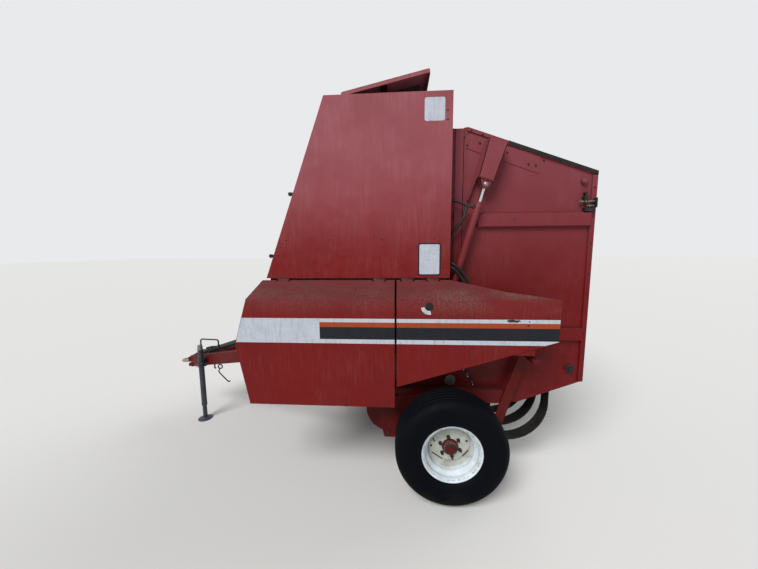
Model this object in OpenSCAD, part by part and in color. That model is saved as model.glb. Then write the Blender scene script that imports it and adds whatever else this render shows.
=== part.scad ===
// Round baler with a belt chamber, parked on its tongue jack.
// X runs from the hitch (negative) to the tailgate (positive), Y from the
// machine's left side (negative) to its right, Z up from the ground.
// Inside the modules X is counted from the axle; at_origin() moves the whole
// machine so that the row's origin is on the ground below the middle of its length.

/* [Wheels] */
// Outside diameter of a tyre
tyre_od = 775; // [770:5:790]
// Width of a tyre's section
tyre_w = 280; // [270:5:290]
// Distance between the middle planes of the two tyres
wheel_track = 2170; // [2160:5:2200]
// Diameter of the rim's outer lip
rim_lip_d = 416; // [412:2:420]
// Diameter of the bead seat
rim_seat_d = 381; // [378:1:384]
// Width of the rim between its lips
rim_w = 216; // [210:2:224]
// Depth of the rim's disc behind the outer lip
rim_dish = 96; // [90:2:104]
// Diameter of the wheel bolts' circle
wheel_pcd = 152.4; // [150:0.1:156]
// Radius of the wheel spindle
spindle_r = 25; // [22:1:28]
// Side of the square axle beam
axle_beam = 100; // [90:5:110]

/* [Bale chamber] */
// Half of the distance between the chamber walls' inner faces
wall_y = 800; // [790:5:810]
// Thickness of a chamber wall
wall_t = 6; // [5:1:7]
// Height of the fixed walls' lower edge
wall_low_z = 600; // [590:5:610]
// Height of the fixed walls' upper edge under the top sheets
wall_top_z = 2785; // [2775:5:2790]
// Rear edge of the fixed walls, seen from the axle
wall_back_x = 100; // [96:1:104]
// Height at which the split line bends towards the rear
split_bend_z = 900; // [880:10:920]
// Run of the split line towards the rear, from its bend to the lower edge
split_run = 185; // [175:5:195]
// Gap between the fixed walls and the tailgate
split_gap = 15; // [12:1:18]

/* [Main frame] */
// Height of the side rails' lower face
rail_z = 595; // [590:1:600]
// Height of a side rail's section
rail_h = 105; // [100:5:110]
// Width of a side rail's section
rail_w = 60; // [55:5:65]
// Thickness of the axle plates and of the struts
plate_t = 12; // [10:1:14]
// Rear end of the side rails
rail_back_x = 430; // [425:5:440]
// Front end of the side rails
rail_front_x = -1180; // [-1190:5:-1170]

/* [Covers and shields] */
// Thickness of the sheet metal
sheet_t = 5; // [4:1:6]
// Half of the width over the upper covers
cover_y = 950; // [945:5:955]
// Rear edge of the upper covers
cover_back_x = 0; // [-5:1:5]
// Foremost point of the upper covers, at their foot
cover_foot_x = -1328; // [-1335:1:-1320]
// Front end of the upper covers' top edge
cover_top_x = -871; // [-876:1:-866]
// Height of the upper covers' lower edge
cover_low_z = 1571; // [1568:1:1575]
// Height of the upper covers' top edge
cover_top_z = 2805; // [2800:1:2810]
// Half of the width over the lower shields
shield_y = 1090; // [1085:1:1095]
// Height of the bend along the lower shields
shield_bend_z = 1430; // [1426:1:1434]
// Height of the lower shields' top edge, at their hinges
shield_top_z = 1550; // [1548:1:1552]
// Half of the width over the lower shields' hinges
shield_hinge_y = 960; // [958:1:962]
// Joint between the front and the rear shield
shield_seam_x = -382; // [-386:1:-378]
// Gap at that joint
shield_seam = 14; // [12:1:16]
// Rear end of the rear shield's tail
tail_x = 700; // [695:1:705]
// Angle at which the roof lid stands open
lid_angle = 12; // [10:1:14]
// Hinge line of the roof lid
lid_hinge_x = -756; // [-760:1:-752]
// Length of the roof lid
lid_len = 612; // [606:1:616]

/* [Tailgate] */
// Hinge line of the tailgate
gate_hinge_x = 118; // [116:1:120]
// Height of the tailgate's hinge line
gate_hinge_z = 2590; // [2588:1:2592]
// Radius of the tailgate's hinge pins
gate_pin_r = 16; // [14:1:18]
// Rear edge of the tailgate
gate_back_x = 1045; // [1040:1:1050]
// Height of the tailgate's top edge at its front
gate_top_z = 2623; // [2620:1:2626]
// Height of the tailgate's top edge at its rear
gate_back_top_z = 2309; // [2305:1:2313]
// Height of the tailgate's lower rear corner
gate_back_low_z = 761; // [756:1:766]
// Height of the tailgate's lower edge
gate_low_z = 575; // [570:1:580]
// Rear end of that lower edge, where it starts to rise
gate_low_x = 562; // [556:1:568]

/* [Tailgate cylinders] */
// Distance of the cylinders' axes from the middle plane
cyl_y = 880; // [878:1:882]
// Lower pin of a cylinder
cyl_base = [-120, 950];
// Pin of the rod's eye in the tailgate's bracket
cyl_eye = [240, 2208];
// Outside radius of a cylinder's barrel
barrel_r = 30; // [28:1:32]
// Radius of the rod
rod_r = 15; // [13:1:17]
// Length of a barrel from its lower pin to its gland
barrel_len = 1185; // [1175:5:1195]
// Radius of the lower pin
cyl_pin_r = 18; // [16:1:20]

/* [Tongue and jack] */
// Front end of the drawbar eye
hitch_tip_x = -2794; // [-2800:1:-2788]
// Height of the drawbar eye's middle plane
hitch_z = 550; // [546:1:554]
// Diameter of the hitch pin's hole
hitch_hole_d = 33; // [31:0.5:35]
// Thickness of the drawbar eye
hitch_t = 26; // [24:1:28]
// Height of a tongue beam's section
beam_h = 110; // [106:1:114]
// Width of a tongue beam's section
beam_w = 75; // [72:1:78]
// Outside diameter of the jack's tube
jack_d = 57; // [54:1:60]
// Distance of the jack ahead of the axle
jack_x = -2420; // [-2424:1:-2416]
// Height of the jack's swivel
jack_pivot_z = 612; // [610:1:614]

/* [Pickup] */
// Centre of the pickup reel
reel_at = [-430, 460];
// Radius over the tine tips
tine_tip_r = 250; // [246:1:254]
// Radius of the stripper bands
band_r = 185; // [180:1:190]
// Number of tines along one bar
tine_n = 20; // [18:1:22]
// Distance between two tines
tine_pitch = 72; // [70:1:74]
// Width of one stripper band
band_w = 52; // [48:1:56]
// Pivot on which the pickup is lifted
pickup_pivot = [-150, 640];
// Half of the width over the pickup's side plates
pickup_y = 750; // [746:1:754]

/* [Belts and rollers] */
// Number of belts side by side
belt_n = 8; // [8:1:8]
// Distance between two belts
belt_pitch = 200; // [198:1:202]
// Width of one belt
belt_w = 110; // [106:1:114]
// Thickness of a belt
belt_t = 8; // [7:1:9]
// Radius of the belt rollers
roller_r = 60; // [58:1:62]

/* [Hidden] */
$fn = 48;
eps = 0.3;          // running clearance between a pin and its bore
seat = 0.3;         // gap between curved faces that belong together
swing = 6;          // clearance between pieces that move past each other
pipe = 40;          // side of the square tubes that hold the covers
axle_z = tyre_od / 2;
wheel_y = wheel_track / 2;
wall_out = wall_y + wall_t;
rail_in = wall_out + swing;
rail_out = rail_in + rail_w;
plate_out = rail_out + plate_t;
gate_front_x = wall_back_x + split_gap;
origin_x = -(hitch_tip_x + gate_back_x) / 2;
lean = [cover_top_x - cover_foot_x, cover_top_z - cover_low_z];   // run and rise of the sloping front

red = [0.62, 0.13, 0.12];
dark_red = [0.45, 0.10, 0.10];

module at_origin() { translate([origin_x, 0, 0]) children(); }

module mirrored(right) {
    if (right) mirror([0, 1, 0]) children();
    else children();
}

module both_sides() {
    children();
    mirror([0, 1, 0]) children();
}

// Flat plate: points are [x, z], and it fills y from y0 to y0 + t
module xz_plate(points, y0, t) {
    translate([0, y0 + t, 0]) rotate([90, 0, 0]) linear_extrude(t) polygon(points);
}

// Profile: points are [y, z], and it fills x from x0 to x0 + len
module x_profile(points, x0, len) {
    translate([x0, 0, 0]) rotate([90, 0, 90]) linear_extrude(len) polygon(points);
}

// Round bar along Y, from y0 to y0 + len
module y_rod(at, r, y0, len) {
    translate([at[0], y0 + len, at[1]]) rotate([90, 0, 0]) cylinder(r = r, h = len);
}

// Box with its centre line from p to q
module bar(p, q, w, h) {
    d = q - p;
    translate(p)
        rotate([0, -asin(d[2] / norm(d)), atan2(d[1], d[0])])
            translate([0, -w / 2, -h / 2]) cube([norm(d), w, h]);
}

// Round bar from p to q
module rod(p, q, r) {
    d = q - p;
    translate(p)
        rotate([0, 90 - asin(d[2] / norm(d)), atan2(d[1], d[0])]) cylinder(r = r, h = norm(d));
}

function on_circle(c, r, a) = [c[0] + r * cos(a), c[1] + r * sin(a)];
function arc(c, r, a0, a1, n) = [for (i = [0:n]) on_circle(c, r, a0 + (a1 - a0) * i / n)];
function reversed(list) = [for (i = [len(list) - 1:-1:0]) list[i]];
function unit(v) = v / norm(v);
// Point i of a closed path, moved sideways by half a thickness
function path_side(path, i, by) =
    let (n = len(path),
         along = unit(path[(i + 1) % n] - path[(i + n - 1) % n]))
    path[i] + by * [-along[1], along[0]];

// Closed band that follows a path of [x, z] points
module band(path, t, y0, w) {
    n = len(path);
    difference() {
        xz_plate([for (i = [0:n - 1]) path_side(path, i, t / 2)], y0, w);
        xz_plate([for (i = [0:n - 1]) path_side(path, i, -t / 2)], y0 - 1, w + 2);
    }
}

// Fixed chamber

// x of the sloping front, at height z
function slope_x(z) = cover_foot_x + (z - cover_low_z) * lean[0] / lean[1];

fixed_wall = [[wall_back_x, 2615], [-120, wall_top_z], [slope_x(wall_top_z) + 20, wall_top_z],
              [slope_x(cover_low_z) + 20, cover_low_z], [-1290, 1250], [-1060, 840], [-1060, wall_low_z],
              [wall_back_x + split_run * (split_bend_z - wall_low_z) / 300, wall_low_z],
              [wall_back_x, split_bend_z]];
post_w = 57;
shield_arms = [-1250, -440, -330, -90];       // x of the arms that carry the shields' hinges
hinge_rails = [[-1300, 900], [-362, 350]];    // front end and length of each hinge rail

shield_hinges = [-1200, -500, -300, -120];     // middles of the shields' hinges
hinge_len = 80;
knuckle_r = 8;
shield_axis = [-shield_hinge_y + 6, shield_top_z + 4];   // y and z of the shields' hinge line
hinge_eye_r = 34;

// Round bar along X around a shield's hinge line
module along_hinge(x, r, len) {
    translate([x - len / 2, shield_axis[0], shield_axis[1]]) rotate([0, 90, 0]) cylinder(r = r, h = len);
}

// Fixed half of a shield's hinge: two ears and the pin between them
module shield_pin(x) {
    along_hinge(x, 4, hinge_len + 12);
    for (e = [-1, 1])
        translate([x + e * (hinge_len / 2 + 3) - 3, shield_axis[0] - 6, shield_top_z - 12])
            cube([6, 24, 20]);
}

// Moving half: the knuckle on the shield's edge
module shield_knuckle(x) {
    difference() {
        union() {
            along_hinge(x, knuckle_r, hinge_len - 2 * eps);
            translate([x - hinge_len / 2 + eps, shield_axis[0] - 8, shield_top_z - 4])
                cube([hinge_len - 2 * eps, 8, 6]);
        }
        along_hinge(x, 4.1, hinge_len + 2);
    }
}

// Room in a shield's edge for the two ears of a hinge
module ear_notches(x) {
    for (e = [-1, 1])
        translate([x + e * (hinge_len / 2 + 3) - 3 - swing, shield_axis[0] - 16, shield_top_z - 12 - swing])
            cube([6 + 2 * swing, 50, 50]);
}

module chamber_walls() {
    at_origin() color(red) both_sides() {
        difference() {
            xz_plate(fixed_wall, -wall_out, wall_t);
            y_rod([gate_hinge_x, gate_hinge_z], hinge_eye_r + 2 * swing, -wall_out - 1, wall_t + 2);
        }
        // folded rear posts beside the split line
        translate([wall_back_x - post_w, -wall_out - 14, split_bend_z])
            cube([post_w, 14, 2600 - split_bend_z]);
        // hinge lugs and pins of the tailgate
        y_rod([gate_hinge_x, gate_hinge_z], hinge_eye_r, -wall_out - swing - 12, 12);
        xz_plate([[wall_back_x - post_w, 2500], [gate_hinge_x, gate_hinge_z - hinge_eye_r],
                  [gate_hinge_x, gate_hinge_z + hinge_eye_r], [wall_back_x - post_w, 2600]],
                 -wall_out - swing - 12, 12);
        y_rod([gate_hinge_x, gate_hinge_z], gate_pin_r, -wall_out - swing - 6, 6 + swing + wall_t + 8);
        // arms and rails along the shields' hinges
        for (x = shield_arms)
            translate([x, -shield_hinge_y + 16, shield_top_z - 50])
                cube([pipe, shield_hinge_y - 16 - wall_out, pipe]);
        for (r = hinge_rails)
            translate([r[0], -shield_hinge_y + 14, shield_top_z - 50]) cube([r[1], 24, pipe]);
        for (x = shield_hinges) shield_pin(x);
        // lower pins of the cylinders
        y_rod(cyl_base, 34, -wall_out - 30, 30);
        y_rod(cyl_base, cyl_pin_r, -cyl_y - 34, cyl_y + 34 - wall_out);
        y_rod(cyl_base, 28, -cyl_y - 40, 8);
    }
}

// Main frame: rails, axle plates, axle, spindles, struts

axle_plate = [[-560, rail_z + 45], [-471, 300], [130, 300], [215, rail_z + 45]];
strut_top = [575, 1010];
strut_foot = [395, 450];
strut_w = 70;
spindle_tip = 50;       // how far a spindle reaches past the wheel's middle plane
nose_x = -2600;         // front end of the tongue beams

module strut() {
    d = unit(strut_top - strut_foot);
    n = [-d[1], d[0]] * strut_w / 2;
    xz_plate([strut_foot - n, strut_top - n, strut_top + n, strut_foot + n], -plate_out, plate_t);
    // outrigger on which the rear shield's tail rests
    translate([strut_top[0] - 30, -shield_y + 12, strut_top[1] - 20])
        cube([50, shield_y - 12 - rail_out, 20]);
}

module main_frame() {
    at_origin() color(red) {
        both_sides() {
            translate([rail_front_x, -rail_out, rail_z])
                cube([rail_back_x - rail_front_x, rail_w, rail_h]);
            // welding pads between rail and wall
            for (x = [rail_front_x, -700, -60])
                translate([x, -rail_in, rail_z + 15]) cube([120, swing, rail_h - 30]);
            xz_plate(axle_plate, -plate_out, plate_t);
            strut();
            // spindle with its shoulder
            y_rod([0, axle_z], spindle_r, -wheel_y - spindle_tip, wheel_y + spindle_tip - rail_out);
            y_rod([0, axle_z], 45, -wheel_y + 90, wheel_y - 90 - rail_out);
            // stub pins of the pickup's lift
            y_rod(pickup_pivot, 15, -wall_y, wall_y - pickup_y + 14);
        }
        // axle beam
        translate([-axle_beam / 2, -rail_out, axle_z - axle_beam / 2])
            cube([axle_beam, 2 * rail_out, axle_beam]);
        // front cross tubes
        translate([rail_front_x, -rail_out, rail_z + rail_h]) cube([100, 2 * rail_out, cross_top - rail_z - rail_h]);
        translate([-1150, -wall_y, 1200]) cube([80, 2 * wall_y, 80]);
    }
}

// Tongue: two beams that run together towards the hitch and drop to it

cross_top = rail_z + rail_h + 120;      // top of the front cross tube
tongue_root = [rail_front_x + 40, -690, 935];
tongue_nose = [nose_x + 20, -56, 571];

module tongue() {
    at_origin() color(red) {
        both_sides() bar(tongue_root, tongue_nose, beam_w, beam_h);
        // cross tie and the plates at the nose
        bar([-1980, -320, 712], [-1980, 320, 712], 60, 60);
        translate([nose_x - 65, -70, hitch_z + hitch_t / 2 + seat]) cube([190, 140, 45]);
        translate([nose_x - 65, -70, hitch_z - hitch_t / 2 - seat - 30]) cube([190, 140, 30]);
        // feet on the front cross tube
        both_sides() translate([rail_front_x - 10, -760, cross_top + seat]) cube([110, 140, 75]);
        // strap and saddle that hold the driveline
        bar([-2290, -190, 612], [-2290, 190, 612], 40, 12);
        translate([-2300, -30, 612]) cube([20, 60, 60]);
    }
}

module drawbar_eye() {
    at_origin() color("dimgray") difference() {
        union() {
            y = 38;
            translate([hitch_tip_x + y, 0, hitch_z - hitch_t / 2]) cylinder(r = y, h = hitch_t);
            translate([hitch_tip_x + y, -y, hitch_z - hitch_t / 2])
                cube([nose_x - 2 - hitch_tip_x - y, 2 * y, hitch_t]);
        }
        translate([hitch_tip_x + 50, 0, hitch_z - hitch_t]) cylinder(d = hitch_hole_d, h = 2 * hitch_t);
    }
}

// Covers

module front_panel() {
    y = cover_y - sheet_t;
    at_origin() color(red) difference() {
        xz_plate([[cover_foot_x, cover_low_z], [cover_top_x, cover_top_z],
                  [cover_top_x + sheet_t, cover_top_z], [cover_foot_x + sheet_t, cover_low_z]], -y, 2 * y);
    }
}

cover_outline = [[cover_foot_x, cover_low_z], [cover_top_x, cover_top_z],
                 [cover_back_x, cover_top_z], [cover_back_x, cover_low_z]];
cover_brackets = [[-1180, 1735], [-640, 1735], [-60, 1735], [-820, 2742], [-400, 2742], [-60, 2660]];

module upper_cover(right) {
    at_origin() color(red) mirrored(right) {
        xz_plate(cover_outline, -cover_y, sheet_t);
        translate([cover_back_x - sheet_t, -cover_y, cover_low_z])
            cube([sheet_t, 30, cover_top_z - cover_low_z]);
        for (at = cover_brackets)
            translate([at[0] - pipe / 2, -cover_y + sheet_t, at[1] - pipe / 2])
                cube([pipe, cover_y - sheet_t - wall_out, pipe]);
    }
}

lid_hinges = [-800, -hinge_len / 2, 800 - hinge_len];      // y of the lid's hinge knuckles

module top_sheets() {
    y = cover_y - sheet_t;
    back_x = lid_hinge_x + lid_len + 8;
    at_origin() color(red) {
        translate([cover_top_x + sheet_t, -y, cover_top_z - sheet_t])
            cube([lid_hinge_x - 10 - cover_top_x - sheet_t, 2 * y, sheet_t]);
        translate([back_x, -y, cover_top_z - sheet_t]) cube([cover_back_x - sheet_t - back_x, 2 * y, sheet_t]);
        // ears and pins of the lid's hinges
        for (h = lid_hinges) {
            y_rod([lid_hinge_x, cover_top_z + 8], 4, h - 8, hinge_len + 16);
            for (e = [h - 8, h + hinge_len + eps])
                translate([lid_hinge_x - 12, e, cover_top_z - sheet_t]) cube([18, 8 - eps, 20]);
        }
    }
}

module roof_lid() {
    lip_y = cover_y - sheet_t - swing;
    at_origin() color(red)
        translate([lid_hinge_x, 0, cover_top_z + 8]) rotate([0, -lid_angle, 0]) {
            translate([12, -cover_y, 0]) cube([lid_len - 12, 2 * cover_y, sheet_t]);
            translate([lid_len - sheet_t, -lip_y, -25]) cube([sheet_t, 2 * lip_y, 25]);
            for (y = lid_hinges) difference() {
                union() {
                    translate([0, y, 0]) rotate([-90, 0, 0]) cylinder(r = 7, h = hinge_len);
                    translate([0, y, 0]) cube([20, hinge_len, sheet_t]);
                }
                translate([0, y - 1, 0]) rotate([-90, 0, 0]) cylinder(r = 4.1, h = hinge_len + 2);
            }
        }
}

// Lower shields: one folded sheet each, cut to its side outline

front_shield_edge = [[-1356, shield_top_z], [-1425, shield_bend_z], [-1466, 1296], [-1521, 1105], [-1436, 662]];
front_shield_back = shield_seam_x - shield_seam / 2;
rear_shield_front = shield_seam_x + shield_seam / 2;

module folded_sheet(x0, len) {
    low = 600;
    t = sheet_t;
    x_profile([[-shield_y, low], [-shield_y, shield_bend_z], [-shield_hinge_y, shield_top_z],
               [-shield_hinge_y + t * 0.7, shield_top_z - t], [-shield_y + t, shield_bend_z - t * 0.5],
               [-shield_y + t, low]], x0, len);
}

module front_shield(right) {
    at_origin() color(red) mirrored(right) {
        for (x = [shield_hinges[0], shield_hinges[1]]) shield_knuckle(x);
        difference() {
            intersection() {
                folded_sheet(-1600, 1300);
                xz_plate(concat(front_shield_edge, [[front_shield_back, 660], [front_shield_back, shield_top_z]]),
                         -shield_y - 1, 200);
            }
            for (x = [shield_hinges[0], shield_hinges[1]]) ear_notches(x);
        }
        // folded front edge
        intersection() {
            x_profile([[-shield_y + 1, 600], [-shield_y + 1, shield_bend_z], [-shield_hinge_y, shield_top_z],
                       [-shield_hinge_y + 40, shield_top_z - 40], [-shield_y + 50, shield_bend_z - 40],
                       [-shield_y + 50, 600]], -1600, 400);
            xz_plate(concat(front_shield_edge, reversed([for (p = front_shield_edge) p + [sheet_t, 0]])),
                     -shield_y, 200);
        }
    }
}

rear_shield_outline = [[rear_shield_front, shield_top_z], [0, shield_top_z], [350, 1478], [tail_x, shield_bend_z],
                       [tail_x, 1150], [621, 1121], [rear_shield_front, 812]];

module rear_shield(right) {
    at_origin() color(red) mirrored(right) {
        for (x = [shield_hinges[2], shield_hinges[3]]) shield_knuckle(x);
        difference() {
            intersection() {
                folded_sheet(-400, 1200);
                xz_plate(rear_shield_outline, -shield_y - 1, 200);
            }
            for (x = [shield_hinges[2], shield_hinges[3]]) ear_notches(x);
        }
    }
}

// Drive

gearbox_at = [-1120, 1035];

shaft_front = [-2540, 0, 670];
shaft_rear = [gearbox_at[0] - 130, 0, 1007];
shaft_dir = unit(shaft_rear - shaft_front);

module gearbox() {
    at_origin() color("dimgray") {
        translate([gearbox_at[0] - 100, -95, cross_top + seat]) cube([200, 190, 230]);
        y_rod(gearbox_at, 22, -wall_y, wall_y - 95);
        rod(shaft_rear + seat * shaft_dir, shaft_rear + 60 * shaft_dir, 24);
    }
}

module driveline() {
    d = shaft_dir;
    at_origin() color([0.1, 0.1, 0.11]) difference() {
        union() {
            rod(shaft_front, shaft_rear, 24);
            rod(shaft_front + 110 * d, shaft_rear - 120 * d, 40);
            rod(shaft_front, shaft_front + 70 * d, 32);
            rod(shaft_front + 120 * d, shaft_front + 230 * d, 55);
            rod(shaft_rear - 230 * d, shaft_rear - 100 * d, 58);
        }
        rod(shaft_front - 10 * d, shaft_front + 70 * d, 17.5);
    }
}

chain_t = 12;
chain_w = 18;
chain_y = -wall_out - 44;
small_sprocket = 60;        // radii of the chain's path round the two sprockets
large_sprocket = 90;

// Sprocket with its hub, which reaches from the wall or a bearing to the chain
module sprocket(at, r, hub_from) {
    y_rod(at, r - chain_t / 2 - 2 * seat, chain_y + 4, chain_w - 8);
    y_rod(at, 26, chain_y - 6, hub_from - chain_y + 6);
}

module drive_chains() {
    starter = [starter_roll[0], starter_roll[1]];
    at_origin() color([0.2, 0.18, 0.17]) {
        band(concat(arc(gearbox_at, small_sprocket, 262, 78, 14), arc(starter, large_sprocket, 78, -98, 18)),
             chain_t, chain_y, chain_w);
        sprocket(gearbox_at, small_sprocket, -wall_out);
        sprocket(starter, large_sprocket, -wall_out - 14 - seat);
    }
}

module hydraulic_hoses() {
    at_origin() color([0.12, 0.12, 0.12]) rod([20, -wall_out - 10 - seat, 2100], [20, -wall_out - 10 - seat, 1600], 10);
}

// Belts and rollers

belt_r = roller_r + belt_t / 2 + seat + 0.7;      // with room for the flats of its path
front_loop = [[-790, 2640], [-50, 2530], [-560, 960], [-950, 1240]];
gate_loop = [[232, 2486], [948, 2232], [933, 858]];
idler = [436, 665];
droop_right = [512, 535, 311];
droop_left = [512, 364, 140];
turn_r = 50;

front_belt_path = concat(
    arc(front_loop[0], belt_r, 170, 82, 6), arc(front_loop[1], belt_r, 82, -18, 6),
    arc(front_loop[2], belt_r, -18, -125, 6), arc(front_loop[3], belt_r, -125, -188, 5));
gate_belt_path = concat(
    arc(gate_loop[0], belt_r, 186, 70, 7), arc(gate_loop[1], belt_r, 70, 0, 6),
    arc(gate_loop[2], belt_r, 0, -90, 6),
    arc([droop_right[0] + droop_right[2] + turn_r, gate_loop[2][1] - belt_r - turn_r], turn_r, 90, 180, 4),
    arc([droop_right[0], droop_right[1]], droop_right[2], 0, -88, 10),
    arc([droop_left[0], droop_left[1]], droop_left[2], -92, -180, 7),
    [[idler[0] - belt_r, idler[1]]]);

function belt_y(i) = (i - (belt_n - 1) / 2) * belt_pitch - belt_w / 2;

module belts(path) {
    for (i = [0:belt_n - 1]) band(path, belt_t, belt_y(i), belt_w);
}

module front_belts() { at_origin() color([0.13, 0.13, 0.14]) belts(front_belt_path); }
module gate_belts() { at_origin() color([0.13, 0.13, 0.14]) belts(gate_belt_path); }

// Roller between the walls, with its bearings outside them
module roller(at, r, bearings = true) {
    y_rod(at, r, -wall_y + 20, 2 * wall_y - 40);
    y_rod(at, 20, -wall_y, 2 * wall_y);
    if (bearings) both_sides() y_rod(at, 42, -wall_out - 14, 14);
}

starter_roll = [-330, 900, 110];
floor_roll = [40, 748, 95];

module front_rollers() {
    at_origin() color("dimgray") {
        for (at = front_loop) roller(at, roller_r);
        for (s = [starter_roll, floor_roll]) roller([s[0], s[1]], s[2]);
    }
}

module gate_rollers() {
    at_origin() color("dimgray") {
        roller(gate_loop[0], roller_r, false);
        roller(gate_loop[1], roller_r);
        roller(gate_loop[2], roller_r);
        roller(idler, roller_r, false);
    }
}

// Tailgate

gate_slope = (gate_back_top_z - gate_top_z) / (gate_back_x - gate_front_x);
function gate_top(x) = gate_top_z + (x - gate_front_x) * gate_slope;
gate_outline = [[gate_front_x + 25, gate_top(gate_front_x + 25)], [gate_back_x, gate_back_top_z], [gate_back_x, gate_back_low_z],
                [gate_low_x, gate_low_z], [gate_front_x + split_run, gate_low_z],
                [gate_front_x + split_run, wall_low_z + 5], [gate_front_x, split_bend_z],
                [gate_front_x, gate_hinge_z - 20]];

module gate_walls() {
    at_origin() color(red) both_sides() difference() {
        union() {
            xz_plate(gate_outline, -wall_out, wall_t);
            y_rod([gate_hinge_x, gate_hinge_z], hinge_eye_r, -wall_out, wall_t);
        }
        y_rod([gate_hinge_x, gate_hinge_z], gate_pin_r + 0.1, -wall_out - 1, wall_t + 2);
    }
}

gate_ribs = [[210, 1921, 820, 100], [450, 1078, 580, 94]];    // front end, lower edge, length, height
gate_ties = [[600, 2270], [830, 1560], [760, 1010]];          // centres of the cross tubes

// Side view of the roof sheet from x0 on, between two heights over the walls' top edge
function roof_strip(x0, low, high) = [[x0, gate_top(x0) + low], [gate_back_x, gate_back_top_z + low],
                                      [gate_back_x, gate_back_top_z + high], [x0, gate_top(x0) + high]];

module gate_frame() {
    lip = 30;
    x0 = gate_front_x + 50;
    under = -16;
    at_origin() color(dark_red) {
        both_sides() {
            for (r = gate_ribs) translate([r[0], -wall_out - lip, r[1]]) cube([r[2], lip, r[3]]);
            translate([gate_back_x - lip, -wall_out - lip, gate_back_low_z])
                cube([lip, lip, gate_back_top_z - gate_back_low_z]);
            // turned edge of the roof sheet
            xz_plate(roof_strip(x0, under, sheet_t), -wall_out - lip, lip);
        }
        xz_plate(roof_strip(x0, seat, sheet_t), -wall_out, 2 * wall_out);
        for (t = gate_ties) translate([t[0] - 40, -wall_y, t[1] - 40]) cube([80, 2 * wall_y, 80]);
    }
}

bracket_out = 920;
bracket_front = [[251, 2518], [188, 2262]];
bracket_back = [[376, 2476], [292, 2230]];

module gate_brackets() {
    at_origin() color(red) both_sides() {
        // outer face of the box bracket, drawn in to the pin
        xz_plate([bracket_front[0], bracket_back[0], bracket_back[1], cyl_eye + [22, -22],
                  cyl_eye + [-22, -22], bracket_front[1]], -bracket_out, 6);
        // its two side flanges
        xz_plate([bracket_front[0], bracket_front[0] + [7, 0], bracket_front[1] + [7, 0], bracket_front[1]],
                 -bracket_out, bracket_out - wall_out);
        xz_plate([bracket_back[0], bracket_back[0] - [7, 0], bracket_back[1] - [7, 0], bracket_back[1]],
                 -bracket_out, bracket_out - wall_out);
    }
}

// Cylinders

cyl_dir = unit([cyl_eye[0] - cyl_base[0], 0, cyl_eye[1] - cyl_base[1]]);
base3 = [cyl_base[0], -cyl_y, cyl_base[1]];
eye3 = [cyl_eye[0], -cyl_y, cyl_eye[1]];

module barrel(right) {
    at_origin() color(red) mirrored(right) difference() {
        union() {
            rod(base3 + 30 * cyl_dir, base3 + barrel_len * cyl_dir, barrel_r);
            rod(base3 + (barrel_len - 30) * cyl_dir, base3 + (barrel_len + 5) * cyl_dir, barrel_r + 6);
            y_rod(cyl_base, 34, -cyl_y - 20, 40);
        }
        rod(base3 + 60 * cyl_dir, base3 + (barrel_len + 20) * cyl_dir, rod_r + eps);
        y_rod(cyl_base, cyl_pin_r + 0.1, -cyl_y - 50, 100);
    }
}

module rod_piece(right) {
    at_origin() color("silver") mirrored(right) {
        rod(eye3 - 1100 * cyl_dir, eye3, rod_r);
        y_rod(cyl_eye, 24, -cyl_y - 14, 28);
    }
}

// Wheels

module wheel_place(right) {
    at_origin() mirrored(right) translate([0, -wheel_y, axle_z]) rotate([90, 0, 0]) children();
}

// Half section of the tyre, radius against width, with its running ribs
module tyre_section() {
    r0 = rim_seat_d / 2 + seat;
    r = tyre_od / 2;
    w = tyre_w / 2;
    bead = rim_w / 2 - 10;
    over_lip = rim_lip_d / 2 + 1;
    polygon([[r0, -bead], [over_lip, -bead], [over_lip + 6, -rim_w / 2], [r0 + 60, -w + 3], [r - 80, -w], [r - 40, -w + 12], [r - 14, -w + 34],
             [r - 4, -w + 52], [r, -w + 62], [r, -52], [r - 10, -49], [r - 10, -41], [r, -38], [r, -6],
             [r - 10, -4], [r - 10, 4], [r, 6], [r, 38], [r - 10, 41], [r - 10, 49], [r, 52], [r, w - 62],
             [r - 4, w - 52], [r - 14, w - 34], [r - 40, w - 12], [r - 80, w], [r0 + 60, w - 3],
             [over_lip + 6, rim_w / 2], [over_lip, bead],
             [r0, bead], [r0, bead - 22], [r0 + 12, bead - 40], [r0 + 12, 40 - bead], [r0, 22 - bead]]);
}

module tyre(right) {
    color([0.09, 0.09, 0.1]) wheel_place(right) rotate_extrude($fn = 72) tyre_section();
}

module rim(right) {
    lip = rim_lip_d / 2;
    s = rim_seat_d / 2;
    w = rim_w / 2;
    color([0.86, 0.85, 0.82]) wheel_place(right) difference() {
        rotate_extrude($fn = 72)
            polygon([[s - 4, -w], [lip, -w], [lip, -w + 5], [s, -w + 9], [s, -w + 40], [s - 24, -w + 60],
                     [s - 24, w - 60], [s, w - 40], [s, w - 9], [lip, w - 5], [lip, w], [s - 4, w],
                     [s - 6, w - 38], [s - 32, w - 62], [s - 60, w - rim_dish + 12], [110, w - rim_dish],
                     [58, w - rim_dish], [58, w - rim_dish - 8], [112, w - rim_dish - 8],
                     [s - 60, w - rim_dish + 2], [s - 32, w - rim_dish - 4], [s - 32, -w + 62], [s - 6, -w + 38]]);
        for (a = [0:60:300]) rotate([0, 0, a]) translate([wheel_pcd / 2, 0, w - rim_dish - 20]) cylinder(r = 8, h = 40);
    }
}

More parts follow.
